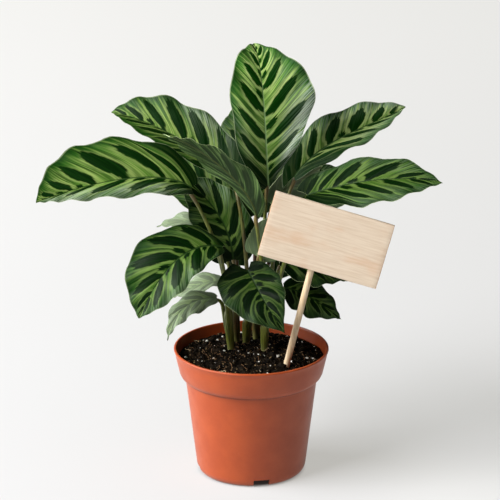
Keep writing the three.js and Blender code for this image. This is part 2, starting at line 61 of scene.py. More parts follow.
# Pot and soil, in the CAD's sizes. The crease is the line under the pot's band, darkened by painted shade.
RIM_RADIUS = 60.0
POT_HEIGHT = 101.0
POT_WALL = 1.3
POT_FLOOR = (6.6, 8.2)
POT_CREASE = 77.2
BOSS_RADIUS = 15.0
NOTCH = {"width": 12.5, "height": 6.0, "length": 14.0, "circle": 38.0, "count": 4, "first": 11.0}
DRAIN = {"count": 6, "radius": 4.0, "circle": 25.0}
SOIL = {"edge": 92.5, "crown": 96.5, "relief": 0.5, "fade": 6.0}
# Heights of the rings down the soil's side, and its lumps: how fine, the noise's layer and how high.
SOIL_SIDE = (85.0, 78.0, 76.0, 60.0, 40.0, 20.0)
SOIL_LUMPS = ((0.14, 3.1, 2.4), (0.42, 7.7, 1.7), (1.1, 1.3, 0.5))

# What lies on the soil. Crumbs: number, smallest and largest radius, the ball's detail and stretch.
CRUMBS = ((2600, 0.35, 0.85, 1, 1.3), (520, 0.9, 1.7, 1, 1.4), (60, 1.8, 3.0, 2, 1.5))
# White perlite grains that stand out: x, y and radius. Smaller ones are strewn between them.
PERLITE = (
    (-35, 28, 1.2), (-26.5, 33, 1.0), (-22.5, 40, 1.1), (-38, 37, 1.0), (-36, 13, 1.0), (-51, -1, 1.2),
    (-21, 2.5, 1.0), (-29, -9, 1.1), (-8, 9, 0.7), (5.5, -9, 1.0), (10, -8.5, 0.8), (21, -10, 1.5),
    (31.5, -18, 1.0), (0.5, 27, 0.8), (-19, 52, 0.9), (14.5, 3, 0.8), (43.5, -6, 1.0), (48, -8, 1.0),
    (6, -21, 0.9), (-30, -34, 0.9), (-38, -13, 0.9), (-23, -22, 0.8), (12.5, -42, 0.9), (-31, 43, 0.8),
    (-27, 45, 0.8), (40, 22, 1.0), (28, 44, 1.1), (-8, 50, 1.0), (14, 52, 0.9), (50, 12, 0.8),
)
SMALL_GRAINS = 90
FIBRES = 120
# Pale roots: start, heading, length, radius and how high they arch.
ROOTS = (
    ((13, 8), -0.9, 13, 0.3, 1.5), ((-45, 38), -1.9, 16, 0.28, 1.2), ((-52, 16), -1.0, 9, 0.25, 0.8),
    ((44, -16), 0.5, 12, 0.3, 1.2), ((-26, -36), 0.4, 14, 0.22, 0.8), ((38, 2), 0.9, 10, 0.22, 0.8),
)

# Blades, in the CAD's sizes, and the finer relief that only shows here.
BLADE = {
    "sweep": 0.24, "margin": 1.35, "base_width": 0.012, "wave_power": 2.4,
    "pleat": 0.16, "fine_pleat": 0.05, "crimp": 0.22,
}
BLADE_HALF = 0.24
RIB_DEPTH = 0.76
RIB_HALF_WIDTH = 1.2
RIB_GROOVE = 0.22
EDGE_SHARE = 0.05
SEAT = 0.03
SEAT_DROP = 2.9
ROW_MM = 1.15

# How thick a stalk is, and how far its end reaches past the seat toward the blade.
PETIOLE = {"base": 2.0, "middle": 1.35, "joint": 1.6, "joint_start": 0.85, "reach": 0.9}
SHEATH = {"bottom": 80.0, "over": 2.0, "waist": 97.0, "slant": 8.0}
SEAM = {"angle": 1.3 * math.pi, "width": 0.2}

# Marker, in the CAD's sizes.
MARKER_YAW = 6.0
BOARD = {"width": 94.0, "height": 53.0, "thickness": 3.0, "up": 110.0, "aside": 5.5, "turn": 15.2}
BOARD_NET = {"bevel": 0.35, "cuts": 24, "waves": ((0.09, 0.12), (0.6, 0.03))}
STICK = {"radius": 2.5, "foot": (26.5, -26.5, 93.5), "lean": 13.3, "depth": 30.0, "above": 121.0}
# The light, dark and warm tone of the wood, as display values of 0 to 255.
BOARD_TONES = ((209, 193, 173), (196, 176, 154), (194, 152, 118))
STICK_TONES = ((214, 194, 164), (192, 165, 128), (170, 132, 100))

# A leaf's shape and looks where it gives no others: see LEAVES and LEAF_LOOK.
LEAF_SHAPE = dict(
    fold=(10, 10), full=(0.55, 1.2, 0.8), waves=(5, 5), phase=(0, 2.2), wave=1.6, scallop=(1, 1),
    lobe=(0.03, 0.03), arch=0.15, veins=((0.25, 1.7), (0.25, 1.7)), hook=1.1,
)
LOOK = dict(
    pale=0.0, painted_light_gain=0.6, under=1.0, tint=(1.0, 1.0, 1.0), rib_pale=0.15, reach=(0.76, 0.76),
    oval=(0.27, 0.27), base=0.12, painted_sheen=(0.2, 0.2), painted_sheen_to=2.0,
)

# Leaves. rib, face, wide and the shape's other keys repeat the CAD's leaf of the same name. The rest
# is for the pattern: veins tells for each half where the first side vein meets the margin and how the
# others follow, hook how far they bend, and left and right are the places on the midrib, from 0 at
# the base to 1 at the tip, where the large dark ovals of each half start.
LEAVES = {
    "leaf_top": dict(
        rib=((13, 4, 232), (11, 0, 272), (8, 8, 313), (2, 46, 333)),
        face=((0.2, -1, 0.25), (0.1, -0.4, 0.9)), wide=(29, 41), fold=(22, 4),
        full=((0.55, 1, 1.15), (0.85, 0.8, 1.35)), lobe=(0.04, 0.04), veins=((0.3, 1.3), (0.12, 2.1)),
        left=(0.0, 0.163, 0.33, 0.492, 0.64, 0.785, 0.9),
        right=(0.06, 0.175, 0.3, 0.462, 0.628, 0.75, 0.87),
    ),
    "leaf_left_long": dict(
        rib=((-46, 0, 231), (-80, -8, 242), (-124, -20, 239), (-163, -36, 231)),
        face=((0, -0.5, 0.87), (-0.3, -0.6, 0.7)), wide=(22.5, 39), fold=(20, 18),
        full=((0.6, 0.85, 0.8), (0.45, 1, 1.2)), waves=(5.5, 6), phase=(1.2, 2.2), scallop=(1.8, 1.8),
        lobe=(0.04, 0.04), veins=((0.28, 1.7), (0.41, 1.12)), left=(0.02, 0.233, 0.465, 0.654, 0.8, 0.91),
        right=(-0.1, 0.06, 0.22, 0.455, 0.635, 0.765, 0.88),
    ),
    "leaf_left_upper": dict(
        rib=((-12, 22, 232), (-43, 36, 251), (-76, 46, 267), (-109, 58, 274)),
        face=((0.1, -0.8, 0.6), (0, -0.7, 0.7)), wide=(26, 29), fold=(45, 15),
        full=((0.55, 1, 1.05), (0.35, 0.8, 0.95)), waves=(6, 5), phase=(0, 5.3), scallop=(1, 2),
        veins=((0.3, 1.5), (0.2, 1.7)), left=(0.05, 0.22, 0.38, 0.53, 0.68, 0.82),
        right=(0.09, 0.26, 0.423, 0.582, 0.754, 0.89),
    ),
    "leaf_front_turned": dict(
        rib=((4, -8, 210), (-10, -14, 239), (-36, -24, 266), (-61, -36, 283)),
        face=((0.35, 0.9, 0.5), (0.3, 0.5, 0.9)), wide=(19, 22), fold=(15, 15),
        full=((0.9, 1, 0.9), (0.7, 0.2, 1.6)),
    ),
    "leaf_centre": dict(
        rib=((-14, 14, 168), (-21, 12, 197), (-36, 14, 219), (-58, 18, 237)),
        face=((0.1, -1, 0.3), (0, -1, 0.5)), wide=(24, 22), full=(0.45, 1.2, 0.65),
    ),
    "leaf_left_lower": dict(
        rib=((-22, -8, 186), (-50, -20, 185), (-71, -32, 166), (-86, -40, 139)),
        face=((-0.1, -0.7, 0.7), (-0.3, -0.9, 0.4)), wide=(22, 31), fold=(14, 14),
        full=((0.45, 1, 1.1), (0.75, 1, 1.2)), phase=(0, 3), wave=2, veins=((0, 2), (0.1, 2.1)),
        left=(0.088, 0.211, 0.423, 0.642, 0.82), right=(0.105, 0.25, 0.407, 0.617, 0.769, 0.9),
    ),
    "leaf_left_pale": dict(
        rib=((-23, 30, 182), (-37, 34, 189), (-54, 38, 191), (-74, 40, 186)),
        face=((0, -0.3, 0.95), (0, -0.3, 0.95)), wide=(14, 14), waves=(4, 4),
    ),
    "leaf_small_low": dict(
        rib=((-27, 8, 138), (-43, 2, 138), (-57, -4, 129), (-65, -8, 109)),
        face=((0, -0.5, 0.87), (-0.5, -0.6, 0.4)), wide=(11, 10), waves=(4, 4),
    ),
    "leaf_small_pale": dict(
        rib=((-23, 24, 144), (-34, 26, 145), (-48, 28, 139), (-61, 30, 131)),
        face=((0, -0.3, 0.95), (0, -0.4, 0.9)), wide=(9, 12), waves=(3, 3),
    ),
    "leaf_front_hanging": dict(
        rib=((-3, -10, 168), (4, -24, 159), (13, -38, 147), (26, -46, 129)),
        face=((0.1, -0.9, 0.6), (0.2, -1, 0.2)), wide=(20, 29), lobe=(0.12, 0.26),
        scallop=(0.5, 0.5), hook=1.8, veins=((0.05, 2.6), (0.05, 2.8)), left=(0.03, 0.18, 0.43, 0.63, 0.8),
        right=(0.05, 0.18, 0.39, 0.57, 0.74, 0.88),
    ),
    "leaf_right_low": dict(
        rib=((25, 8, 147), (40, 6, 143), (55, 4, 134), (70, 2, 123)),
        face=((0, -0.5, 0.87), (0, -0.6, 0.7)), wide=(19, 15), fold=(-8, -8), waves=(4, 4),
    ),
    "leaf_right_behind": dict(
        rib=((22, 20, 164), (40, 22, 160), (57, 22, 155), (75, 20, 148)),
        face=((0, -0.2, 0.95), (0, -0.3, 0.9)), wide=(22, 22), fold=(5, 5), waves=(4, 4),
    ),
    "leaf_right_long": dict(
        rib=((43, 0, 225), (72, -8, 236), (107, -18, 244), (145, -28, 244)),
        face=((0, -0.4, 0.9), (0.1, -0.4, 0.9)), wide=(25, 30), fold=(16, 10),
        full=((0.35, 1.1, 1), (0.6, 0.9, 1.2)), lobe=(0.12, 0.03), waves=(4, 5), scallop=(1.4, 1.4),
        veins=((0.22, 1.75), (0.54, 1.4)), left=(0.113, 0.235, 0.492, 0.703, 0.86),
        right=(0.03, 0.189, 0.41, 0.614, 0.8),
    ),
    "leaf_right_upper": dict(
        rib=((33, 18, 234), (57, 28, 255), (87, 42, 267), (120, 56, 279)),
        face=((-0.2, -0.8, 0.6), (-0.1, -0.7, 0.6)), wide=(22, 16), fold=(15, 25),
        full=((0.5, 0.7, 1.2), (0.5, 1, 1)), waves=(4, 4.7), phase=(-0.4, 0.6), scallop=(1.8, 1.8),
        lobe=(0.12, 0.03), veins=((0.26, 1.3), (0.5, 1.4)), left=(0.05, 0.2, 0.375, 0.59, 0.765, 0.9),
        right=(0.1, 0.3, 0.5, 0.7, 0.85),
    ),
    "leaf_right_turned": dict(
        rib=((15, 29, 209), (28, 31, 221), (42, 33, 230), (55, 33, 238)),
        face=((0, 0.9, 0.6), (0, 0.9, 0.6)), wide=(16, 16), fold=(5, 5), waves=(3, 3),
    ),
    "leaf_middle_turned": dict(
        rib=((4, 6, 174), (20, 7, 193), (40, 10, 206), (66, 10, 213)),
        face=((0.2, 0.9, 0.6), (0.1, 0.7, 0.8)), wide=(22, 18), full=(0.45, 1.3, 0.65),
    ),
    "leaf_back_upper": dict(
        rib=((4, 40, 196), (4, 62, 232), (2, 88, 256), (0, 118, 266)), face=((0, -0.8, 0.7), (0, -0.2, 1)),
        wide=(28, 28), fold=(12, 12), full=(0.55, 1, 1),
    ),
    "leaf_back_left": dict(
        rib=((-16, 48, 182), (-36, 70, 206), (-62, 90, 216), (-88, 108, 210)),
        face=((0, -0.6, 0.8), (0, -0.4, 0.9)), wide=(26, 26), fold=(14, 12), full=(0.55, 1, 1),
    ),
    "leaf_back_right": dict(
        rib=((20, 42, 178), (42, 66, 200), (70, 88, 206), (98, 106, 194)),
        face=((0, -0.5, 0.9), (0, -0.4, 0.9)), wide=(25, 25), fold=(12, 12), full=(0.55, 1, 1),
    ),
    "leaf_back_low_left": dict(
        rib=((-10, 46, 152), (-24, 74, 166), (-40, 100, 164), (-56, 122, 148)),
        face=((0, -0.3, 0.95), (-0.2, 0.4, 0.9)), wide=(22, 22), fold=(8, 8), full=(0.55, 1.1, 0.9),
    ),
    "leaf_back_low_right": dict(
        rib=((22, 40, 146), (42, 62, 158), (62, 84, 152), (80, 100, 132)),
        face=((0, -0.2, 0.95), (0.2, 0.4, 0.8)), wide=(20, 20), fold=(8, 8), full=(0.55, 1.1, 0.9),
    ),
}

# The share of red, green and blue that a leaf in the shade of others keeps.
SHADED = (0.9, 1.02, 0.84)

# How a leaf's looks differ: pale mixes it toward a thin young leaf's grey-green. The gain for the
# upper side, under for the underside and tint, the share of red, green and blue that is kept, paint
# light and shade: they make a leaf lighter or darker for how much light falls on it. rib_pale lightens
# the midrib, and base is where on the midrib the dark base ends. The pairs are for the left and the
# right half: reach is how far the ovals go to the margin, oval how wide they are, and one more pair how
# strong the streaks of painted sheen are: pale silvery streaks that stand for a highlight, strongest up
# to a place on the midrib that a key of its own gives.
LEAF_LOOK = {
    "leaf_top": dict(
        rib_pale=0.85, oval=(0.25, 0.24), painted_light_gain=1.4, tint=(1.0, 0.95, 1.12), painted_sheen=(0.1, 1.0), painted_sheen_to=0.3,
    ),
    "leaf_left_long": dict(reach=(0.62, 0.8), oval=(0.3, 0.25), base=0.02, painted_sheen=(0.6, 0.0), painted_light_gain=0.62),
    "leaf_left_upper": dict(
        reach=(0.8, 0.88), oval=(0.26, 0.27), painted_light_gain=0.64, painted_sheen=(0.0, 0.8), painted_sheen_to=0.25,
    ),
    "leaf_front_turned": dict(painted_light_gain=0.5, under=0.56, pale=0.12, tint=SHADED),
    "leaf_centre": dict(reach=(0.82, 0.82), painted_sheen=(0.1, 0.5), painted_light_gain=0.5, tint=SHADED),
    "leaf_left_lower": dict(
        reach=(0.82, 0.82), oval=(0.29, 0.29), painted_light_gain=0.44, painted_sheen=(0.3, 0.1), tint=SHADED,
    ),
    "leaf_left_pale": dict(pale=0.65, painted_light_gain=1.1, painted_sheen=(0.8, 0.8)),
    "leaf_small_low": dict(pale=0.45, painted_light_gain=0.74, painted_sheen=(0.6, 0.6)),
    "leaf_small_pale": dict(pale=0.55, painted_light_gain=0.78, painted_sheen=(0.7, 0.7)),
    "leaf_front_hanging": dict(
        reach=(0.8, 0.8), oval=(0.3, 0.3), painted_light_gain=0.22, painted_sheen=(0.15, 0.15), tint=SHADED,
    ),
    "leaf_right_low": dict(painted_light_gain=0.28, tint=SHADED),
    "leaf_right_behind": dict(painted_light_gain=0.28, tint=SHADED),
    "leaf_right_long": dict(reach=(0.8, 0.8), oval=(0.27, 0.25), base=0.06, painted_light_gain=0.37, tint=SHADED),
    "leaf_right_upper": dict(oval=(0.3, 0.3), painted_light_gain=0.8, tint=(1.05, 0.96, 1.2)),
    "leaf_right_turned": dict(under=0.9, pale=0.4),
    "leaf_middle_turned": dict(under=0.8, pale=0.55),
}

# Shoots, in the CAD's sizes: foot x, y and radius, top x, y, z and radius, and for each stalk
# three points, before the seat under its leaf. red is how red-brown the stalk is.
SHOOTS = {
    "shoot_left_front": dict(
        foot=(-16, 11, 3.2), top=(-18, 10, 128, 3.6), red=0.15,
        stalks={
            "leaf_left_long": ((-17, 10, 112), (-20, 5, 151), (-30, 2, 191)),
            "leaf_left_lower": ((-17, 9, 112), (-19, 3, 138), (-21, -3, 163)),
            "leaf_small_low": ((-18, 11, 108), (-21, 13, 122), (-23, 11, 133)),
        },
    ),
    "shoot_left_back": dict(
        foot=(-11.5, 24, 3), top=(-12.5, 23, 126, 3.4), red=0.65,
        stalks={
            "leaf_centre": ((-12, 23, 110), (-12, 21, 130), (-12, 18, 150)),
            "leaf_left_pale": ((-12, 24, 110), (-14, 27, 135), (-18, 30, 160)),
            "leaf_small_pale": ((-12, 24, 106), (-14, 25, 120), (-17, 26, 134)),
            "leaf_back_left": ((-11, 25, 110), (-11, 34, 136), (-12, 43, 162)),
        },
    ),
    "shoot_middle": dict(
        foot=(-4, 23, 3.4), top=(-3, 20, 118, 4), red=0.45,
        stalks={
            "leaf_left_upper": ((-4, 22, 108), (-3, 13, 150), (-7, 6, 200)),
            "leaf_front_hanging": ((-4, 20, 108), (-3, 12, 130), (-4, 2, 152)),
        },
    ),
    "shoot_right": dict(
        foot=(10, 5, 3), top=(10.5, 5, 118, 3.6), red=0.1,
        stalks={
            "leaf_top": ((10, 6, 112), (9, 12, 150), (10, 14, 190)),
            "leaf_front_turned": ((10, 4, 112), (10, 2, 146), (7, -7, 182)),
            "leaf_middle_turned": ((10, 5, 110), (8, 4, 132), (6, 3, 154)),
            "leaf_right_long": ((11, 4, 112), (20, -2, 150), (31, -6, 190)),
            "leaf_right_upper": ((11, 6, 112), (15, 14, 152), (22, 18, 194)),
            "leaf_right_behind": ((11, 7, 110), (13, 10, 128), (17, 15, 147)),
            "leaf_right_low": ((11, 4, 108), (13, 3, 124), (17, 6, 141)),
        },
    ),
    "shoot_back": dict(
        foot=(4, 36, 3.4), top=(4, 37, 118, 4), red=0.6,
        stalks={
            "leaf_right_turned": ((4, 36, 112), (8, 34, 145), (12, 30, 178)),
            "leaf_back_upper": ((4, 37, 112), (3, 38, 140), (3, 39, 168)),
            "leaf_back_right": ((5, 37, 110), (9, 40, 134), (14, 42, 157)),
            "leaf_back_low_left": ((3, 37, 106), (0, 41, 122), (-5, 45, 138)),
            "leaf_back_low_right": ((6, 37, 106), (11, 39, 120), (16, 40, 134)),
        },
    ),
}


def linear(colour, painted_light_gain):
    """A linear colour with alpha, from display values of 0 to 255, made lighter or darker by painted light.
    """
    shown = np.array(colour) / 255
    shown = np.where(shown <= 0.04045, shown / 12.92, ((shown + 0.055) / 1.055) ** 2.4)
    return (*np.minimum(shown * painted_light_gain, 1.0).tolist(), 1.0)


class Value:
    """A number or a colour in a node tree. Sums, products and powers of it make math nodes."""

    def __init__(self, shader, socket):
        self.shader = shader
        self.socket = socket

    def __add__(self, other):
        return self.shader.math("ADD", self, other)

    def __sub__(self, other):
        return self.shader.math("SUBTRACT", self, other)

    def __rsub__(self, other):
        return self.shader.math("SUBTRACT", other, self)

    def __mul__(self, other):
        return self.shader.math("MULTIPLY", self, other)

    def __truediv__(self, other):
        return self.shader.math("DIVIDE", self, other)

    def __pow__(self, other):
        return self.shader.math("POWER", self, other)

    def __abs__(self):
        return self.shader.math("ABSOLUTE", self)


class Shader:
    """A material's node tree, with short calls for the nodes that are used here. Its colours are
    display values of 0 to 255 and are made lighter or darker by a gain, which paints light and shade."""

    def __init__(self, name, painted_light_gain=1.0):
        self.painted_light_gain = painted_light_gain
        self.material = bpy.data.materials.new(name)
        self.material.use_nodes = True
        self.tree = self.material.node_tree
        self.surface = self.tree.nodes["Principled BSDF"]

    def feed(self, socket, value):
        if isinstance(value, Value):
            self.tree.links.new(value.socket, socket)
        else:
            socket.default_value = value

    def new(self, kind, inputs, output=0, **settings):
        """One output of a new node, with what its inputs are fed by name or number."""
        node = self.tree.nodes.new(kind)
        for key, value in settings.items():
            setattr(node, key, value)
        for key, value in inputs.items():
            self.feed(node.inputs[key], value)
        return Value(self, node.outputs[output])

    def math(self, operation, first, second=0.0):
        return self.new("ShaderNodeMath", {0: first, 1: second}, operation=operation)

    def ramp(self, value, low, high, start=0.0, end=1.0):
        """A smooth step from start to end as value goes from low to high."""
        inputs = {"Value": value, "From Min": low, "From Max": high, "To Min": start, "To Max": end}
        return self.new("ShaderNodeMapRange", inputs, interpolation_type="SMOOTHSTEP")

    def tone(self, colour):
        return linear(colour, self.painted_light_gain) if isinstance(colour, tuple) else colour

    def mix(self, factor, first, second):
        inputs = {0: factor, 6: self.tone(first), 7: self.tone(second)}
        return self.new("ShaderNodeMix", inputs, 2, data_type="RGBA")

    def layers(self, colour, *layers):
        """A colour with others mixed over it: how much there is of each, and its colour."""
        for factor, tone in layers:
            colour = self.mix(factor, colour, tone)
        return colour

    def vector(self, x, y, z):
        return self.new("ShaderNodeCombineXYZ", {0: x, 1: y, 2: z})

    def split(self, vector):
        """The three parts of a vector or a colour."""
        first = self.new("ShaderNodeSeparateXYZ", {0: vector})
        return [Value(self, output) for output in first.socket.node.outputs]

    def uv(self, name):
        return self.split(self.new("ShaderNodeUVMap", {}, uv_map=name))[:2]

    def place(self):
        return self.new("ShaderNodeTexCoord", {}, "Object")

    def noise(self, vector, scale, detail=2.0, roughness=0.5):
        inputs = {"Vector": vector, "Scale": scale, "Detail": detail, "Roughness": roughness}
        return self.new("ShaderNodeTexNoise", inputs, "Fac")

    def noise_at(self, x, y, z, detail=2.0, roughness=0.5):
        return self.noise(self.vector(x, y, z), 1.0, detail, roughness)

    def chances(self, x, y, z):
        """Three random values that stay the same at one place."""
        return self.split(self.new("ShaderNodeTexWhiteNoise", {"Vector": self.vector(x, y, z)}, "Color"))

    def bump(self, height, distance, strength):
        inputs = {"Strength": strength, "Distance": distance, "Height": height}
        self.feed(self.surface.inputs["Normal"], self.new("ShaderNodeBump", inputs))

    def set(self, **inputs):
        """Feeds the surface's inputs, named with an underscore for each space."""
        for key, value in inputs.items():
            self.feed(self.surface.inputs[key.replace("_", " ")], value)

    def finish(self, colour, roughness, specular):
        self.set(Base_Color=colour, Roughness=roughness, Specular_IOR_Level=specular)
        return self.material


def add_object(name, data):
    """A new object in the scene."""
    thing = bpy.data.objects.new(name, data)
    bpy.context.scene.collection.objects.link(thing)
    return thing


def make_piece(name, node, vertices, faces, materials, face_materials=None, maps=None, sharp=50.0):
    """A mesh object from vertices in millimetres. maps holds a value pair for each vertex by map name."""
    mesh = bpy.data.meshes.new(name)
    mesh.from_pydata((np.asarray(vertices, float) * MM).tolist(), [], faces)
    for material in materials:
        mesh.materials.append(material)
    if face_materials is not None:
        mesh.polygons.foreach_set("material_index", np.asarray(face_materials, np.int32))
    corner_vertex = np.empty(len(mesh.loops), np.int32)
    mesh.loops.foreach_get("vertex_index", corner_vertex)
    for key, values in (maps or {}).items():
        layer = mesh.uv_layers.new(name=key)
        layer.uv.foreach_set("vector", np.asarray(values, np.float32)[corner_vertex].ravel())
    mesh.polygons.foreach_set("use_smooth", np.ones(len(mesh.polygons), bool))
    mesh.update()
    mesh.set_sharp_from_angle(angle=math.radians(sharp))
    piece = add_object(name, mesh)
    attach(piece, "root")
    if node:
        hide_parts(node)
    return piece


def unit(vectors):
    return vectors / np.linalg.norm(vectors, axis=-1, keepdims=True)


def cubic(points, t):
    """A cubic through four points at 0, 1/3, 2/3 and 1."""
    t = np.asarray(t, float)[..., None]
    weights = (
        (1 - t) * (2 - 3 * t) * (1 - 3 * t) / 2,
        9 * t * (1 - t) * (2 - 3 * t) / 2,
        9 * t * (1 - t) * (3 * t - 1) / 2,
        t * (2 - 3 * t) * (1 - 3 * t) / 2,
    )
    return sum(weight * np.asarray(point, float) for weight, point in zip(weights, points))


def rib_frame(leaf, x):
    """The midrib's place, direction, upper side and right side at x, from 0 at the base to 1 at the tip."""
    small = 0.001
    place = cubic(leaf["rib"], x)
    along = unit(cubic(leaf["rib"], x + small) - cubic(leaf["rib"], x - small))
    blend = np.clip(x, 0, 1)[..., None]
    base, tip = (unit(np.array(face, float)) for face in leaf["face"])
    up = base * (1 - blend) + tip * blend
    up = unit(up - along * np.sum(up * along, axis=-1, keepdims=True))
    return place, along, up, np.cross(along, up)


def leaf_length(leaf):
    points = cubic(leaf["rib"], np.linspace(0, 1, 60))
    return float(np.linalg.norm(np.diff(points, axis=0), axis=1).sum())


def oval_count(leaf, s, v):
    """Counts the large ovals along each half, so that it is a whole number where one starts."""
    count = np.empty_like(s)
    for name, half in (("left", v < 0), ("right", v >= 0)):
        starts = np.array(leaf[name], float)
        first, last = starts[1] - starts[0], starts[-1] - starts[-2]
        starts = np.concatenate([[starts[0] - 2 * first], starts, [starts[-1] + 2 * last]])
        numbers = np.concatenate([[-2], np.arange(len(starts) - 2), [len(starts) - 1]])
        count[half] = np.interp(s[half], starts, numbers)
    return count


def vein_feet(leaf, x, a, side):
    """Where on the midrib the side vein through each place starts. It is below 0 behind the first vein."""
    first, power = np.array(leaf["veins"], float)[side].T
    lobe = np.array(leaf["lobe"], float)[side]

    def margin(foot):
        part = first + (1 - first) * (1 - np.maximum(1 - foot, 0) ** power)
        return -lobe + (1 + lobe) * part

    low, high = np.full_like(x, -0.6), np.ones_like(x)
    for _ in range(32):
        middle = (low + high) / 2
        short = middle + (margin(middle) - middle) * a ** leaf["hook"] < x
        low = np.where(short, middle, low)
        high = np.where(short, high, middle)
    return (low + high) / 2


def blade_surface(leaf, s, v, shift):
    """The blade's middle surface and upper direction, with its pleats. Also the distance from the
    midrib, the foot of the side vein and the count of ovals."""
    side = (v >= 0).astype(int)
    a = np.abs(v)

    def pick(pair):
        return np.array(pair, float)[side]

    u = BLADE["base_width"] + (1 - BLADE["base_width"]) * (s + BLADE["sweep"] * np.sin(np.pi * s))
    margin_x = -pick(leaf["lobe"]) + (1 + pick(leaf["lobe"])) * u
    x = s + (margin_x - s) * a ** BLADE["margin"]
    full = leaf["full"] if isinstance(leaf["full"][0], tuple) else (leaf["full"], leaf["full"])
    base_full, tip_full, widest = pick(full).T
    power = base_full + (tip_full - base_full) * u ** 3
    outline = np.maximum(np.sin(np.pi * u ** widest), 0) ** power
    taper = np.maximum(np.sin(np.pi * u), 0)
    ripple = 2 * np.pi * pick(leaf["waves"]) * s + pick(leaf["phase"])
    y = (pick(leaf["wide"]) * outline + pick(leaf["scallop"]) * np.cos(ripple) * taper) * a
    fold = np.radians(pick(leaf["fold"]))
    wave = leaf["wave"] * a ** BLADE["wave_power"] * np.sin(ripple) * np.sqrt(taper)
    height = y * np.sin(fold) - leaf["arch"] * y * y / pick(leaf["wide"]) + wave
    foot = vein_feet(leaf, x, a, side)
    count = oval_count(leaf, foot, v)
    pleat = BLADE["pleat"] * np.sin(2 * np.pi * (2 * count + 0.25))
    pleat += BLADE["fine_pleat"] * np.sin(2 * np.pi * (5 * count + shift))
    height += pleat * np.sin(np.pi * np.clip(a, 0, 1) ** 0.7) * np.sqrt(taper)
    crimp = np.sin(2.7 * ripple + 5 * shift) + 0.6 * np.sin(6.1 * ripple + 3 * shift)
    height += BLADE["crimp"] * crimp * a ** 4 * taper
    place, _, up, right = rib_frame(leaf, x)
    reach = (np.sign(v) * y * np.cos(fold))[..., None]
    return place + right * reach + up * height[..., None], up, y, foot, count


BLADE_COLUMNS = np.concatenate([
    [0, 0.012, 0.025, 0.04, 0.06, 0.085, 0.12],
    np.linspace(0.16, 0.97, 22),
    [1.0],
])


def blade_mesh(leaf, seed):
    """Vertices, faces, face kinds (0 upper, 1 under, 2 edge) and maps of one blade."""
    rows = max(30, round(leaf_length(leaf) / ROW_MM))
    t = np.arange(rows) / rows
    s_rows = 0.6 * t + 0.4 * 0.5 * (1 - np.cos(np.pi * t))
    v_columns = np.concatenate([-BLADE_COLUMNS[:0:-1], BLADE_COLUMNS])
    columns = len(v_columns)
    s = np.concatenate([np.repeat(s_rows, columns), [1.0]])
    v = np.concatenate([np.tile(v_columns, rows), [0.0]])
    middle, up, y, foot, count = blade_surface(leaf, s, v, seed * 0.37)
    half_width = RIB_HALF_WIDTH * (1 - 0.6 * s)
    rib = np.cos(np.pi / 2 * np.clip(y / half_width, 0, 1)) ** 2
    edge = np.clip((1 - np.abs(v)) / EDGE_SHARE, 0.35, 1)
    upper = middle + up * (BLADE_HALF * edge - RIB_GROOVE * rib * (1 - 0.5 * s))[:, None]
    lower = middle - up * (BLADE_HALF * edge + RIB_DEPTH * (1 - 0.75 * s) * rib)[:, None]
    tip = rows * columns
    grid = np.arange(tip).reshape(rows, columns)
    quads = np.stack([grid[:-1, :-1], grid[:-1, 1:], grid[1:, 1:], grid[1:, :-1]], -1).reshape(-1, 4)
    fan = [(int(i), int(i) + 1, tip) for i in grid[-1, :-1]]
    border = [*grid[0, :-1], *grid[:, -1], tip, *grid[:0:-1, 0]]
    under = tip + 1
    faces = [tuple(q) for q in quads.tolist()] + fan
    kinds = [0] * len(faces)
    lower_faces = [tuple(under + i for i in reversed(face)) for face in faces]
    faces += lower_faces
    kinds += [1] * len(lower_faces)
    for here, there in zip(border, border[1:] + border[:1]):
        faces.append((int(there), int(here), under + int(here), under + int(there)))
        kinds.append(2)
    blade_map = np.stack([foot, 0.5 + 0.5 * v], -1)
    oval_map = np.stack([count, y / 100], -1)
    maps = {"blade": np.concatenate([blade_map] * 2), "ovals": np.concatenate([oval_map] * 2)}
    return np.concatenate([upper, lower]), faces, kinds, maps


def oval_mask(shader, seed, soft, look):
    """Where the dark ovals and the light bands round them are, and the blade's places for the colours."""
    ramp, math_node = shader.ramp, shader.math
    s, across = shader.uv("blade")
    count, distance = shader.uv("ovals")
    v = across * 2 - 1
    a = abs(v)
    side = math_node("SIGN", v)
    warp = shader.noise_at(count * 0.9, v * 3, seed) - 0.5
    jagged = shader.noise_at(count * 6, v * 11, seed) - 0.5
    frayed = shader.noise_at(count * 20, v, seed, 1) - 0.5
    q = count + (warp * 0.12 + jagged * 0.07)
    far = a + frayed * 0.25

    # Large ovals, with a thin tail that goes on to the margin.
    nearest = math_node("ROUND", q)
    chance = shader.chances(nearest, side, seed)
    length = ramp(v, -0.001, 0.001, *look["reach"]) + chance[0] * 0.08
    width = ramp(v, -0.001, 0.001, *look["oval"]) + chance[1] * 0.04
    along = far / length
    away = abs(q - nearest - ramp(along, 0.3, 1, 0, 0.06))
    blunt = (1 - math_node("MINIMUM", along, 1) ** 4) ** 0.55
    outside = away - width * ramp(along, 0, 0.4, 0.4, 1) * blunt
    large = ramp(outside, -soft, soft, 1, 0) * ramp(s, 0.9, 0.94, 1, 0)
    ring = ramp(outside, 0.06, 0.2, 1, 0)
    tail = ramp(ramp(along, 0.9, 1.3, 0.05, 0.025) - away, -0.02, 0.02)
    tail = tail * (ramp(along, 0.75, 0.9) * ramp(a, 0.75, 0.97, 0.75, 0.45))

    # Small ovals near the midrib, between some of the large ones.
    between = math_node("FLOOR", q)
    chance = shader.chances(between, side, seed + 7.3)
    along = far / (chance[0] * 0.14 + 0.16)
    blunt = (1 - math_node("MINIMUM", along, 1) ** 3) ** 0.5
    inside = blunt * ramp(along, 0, 0.5, 0.4, 1) * 0.17 - abs(q - between - 0.52)
    small = ramp(inside, -soft, soft) * math_node("GREATER_THAN", chance[1], 0.45)
    mask = math_node("MAXIMUM", math_node("MAXIMUM", large, tail), small)
    return mask, ring, s, count, v, a, distance


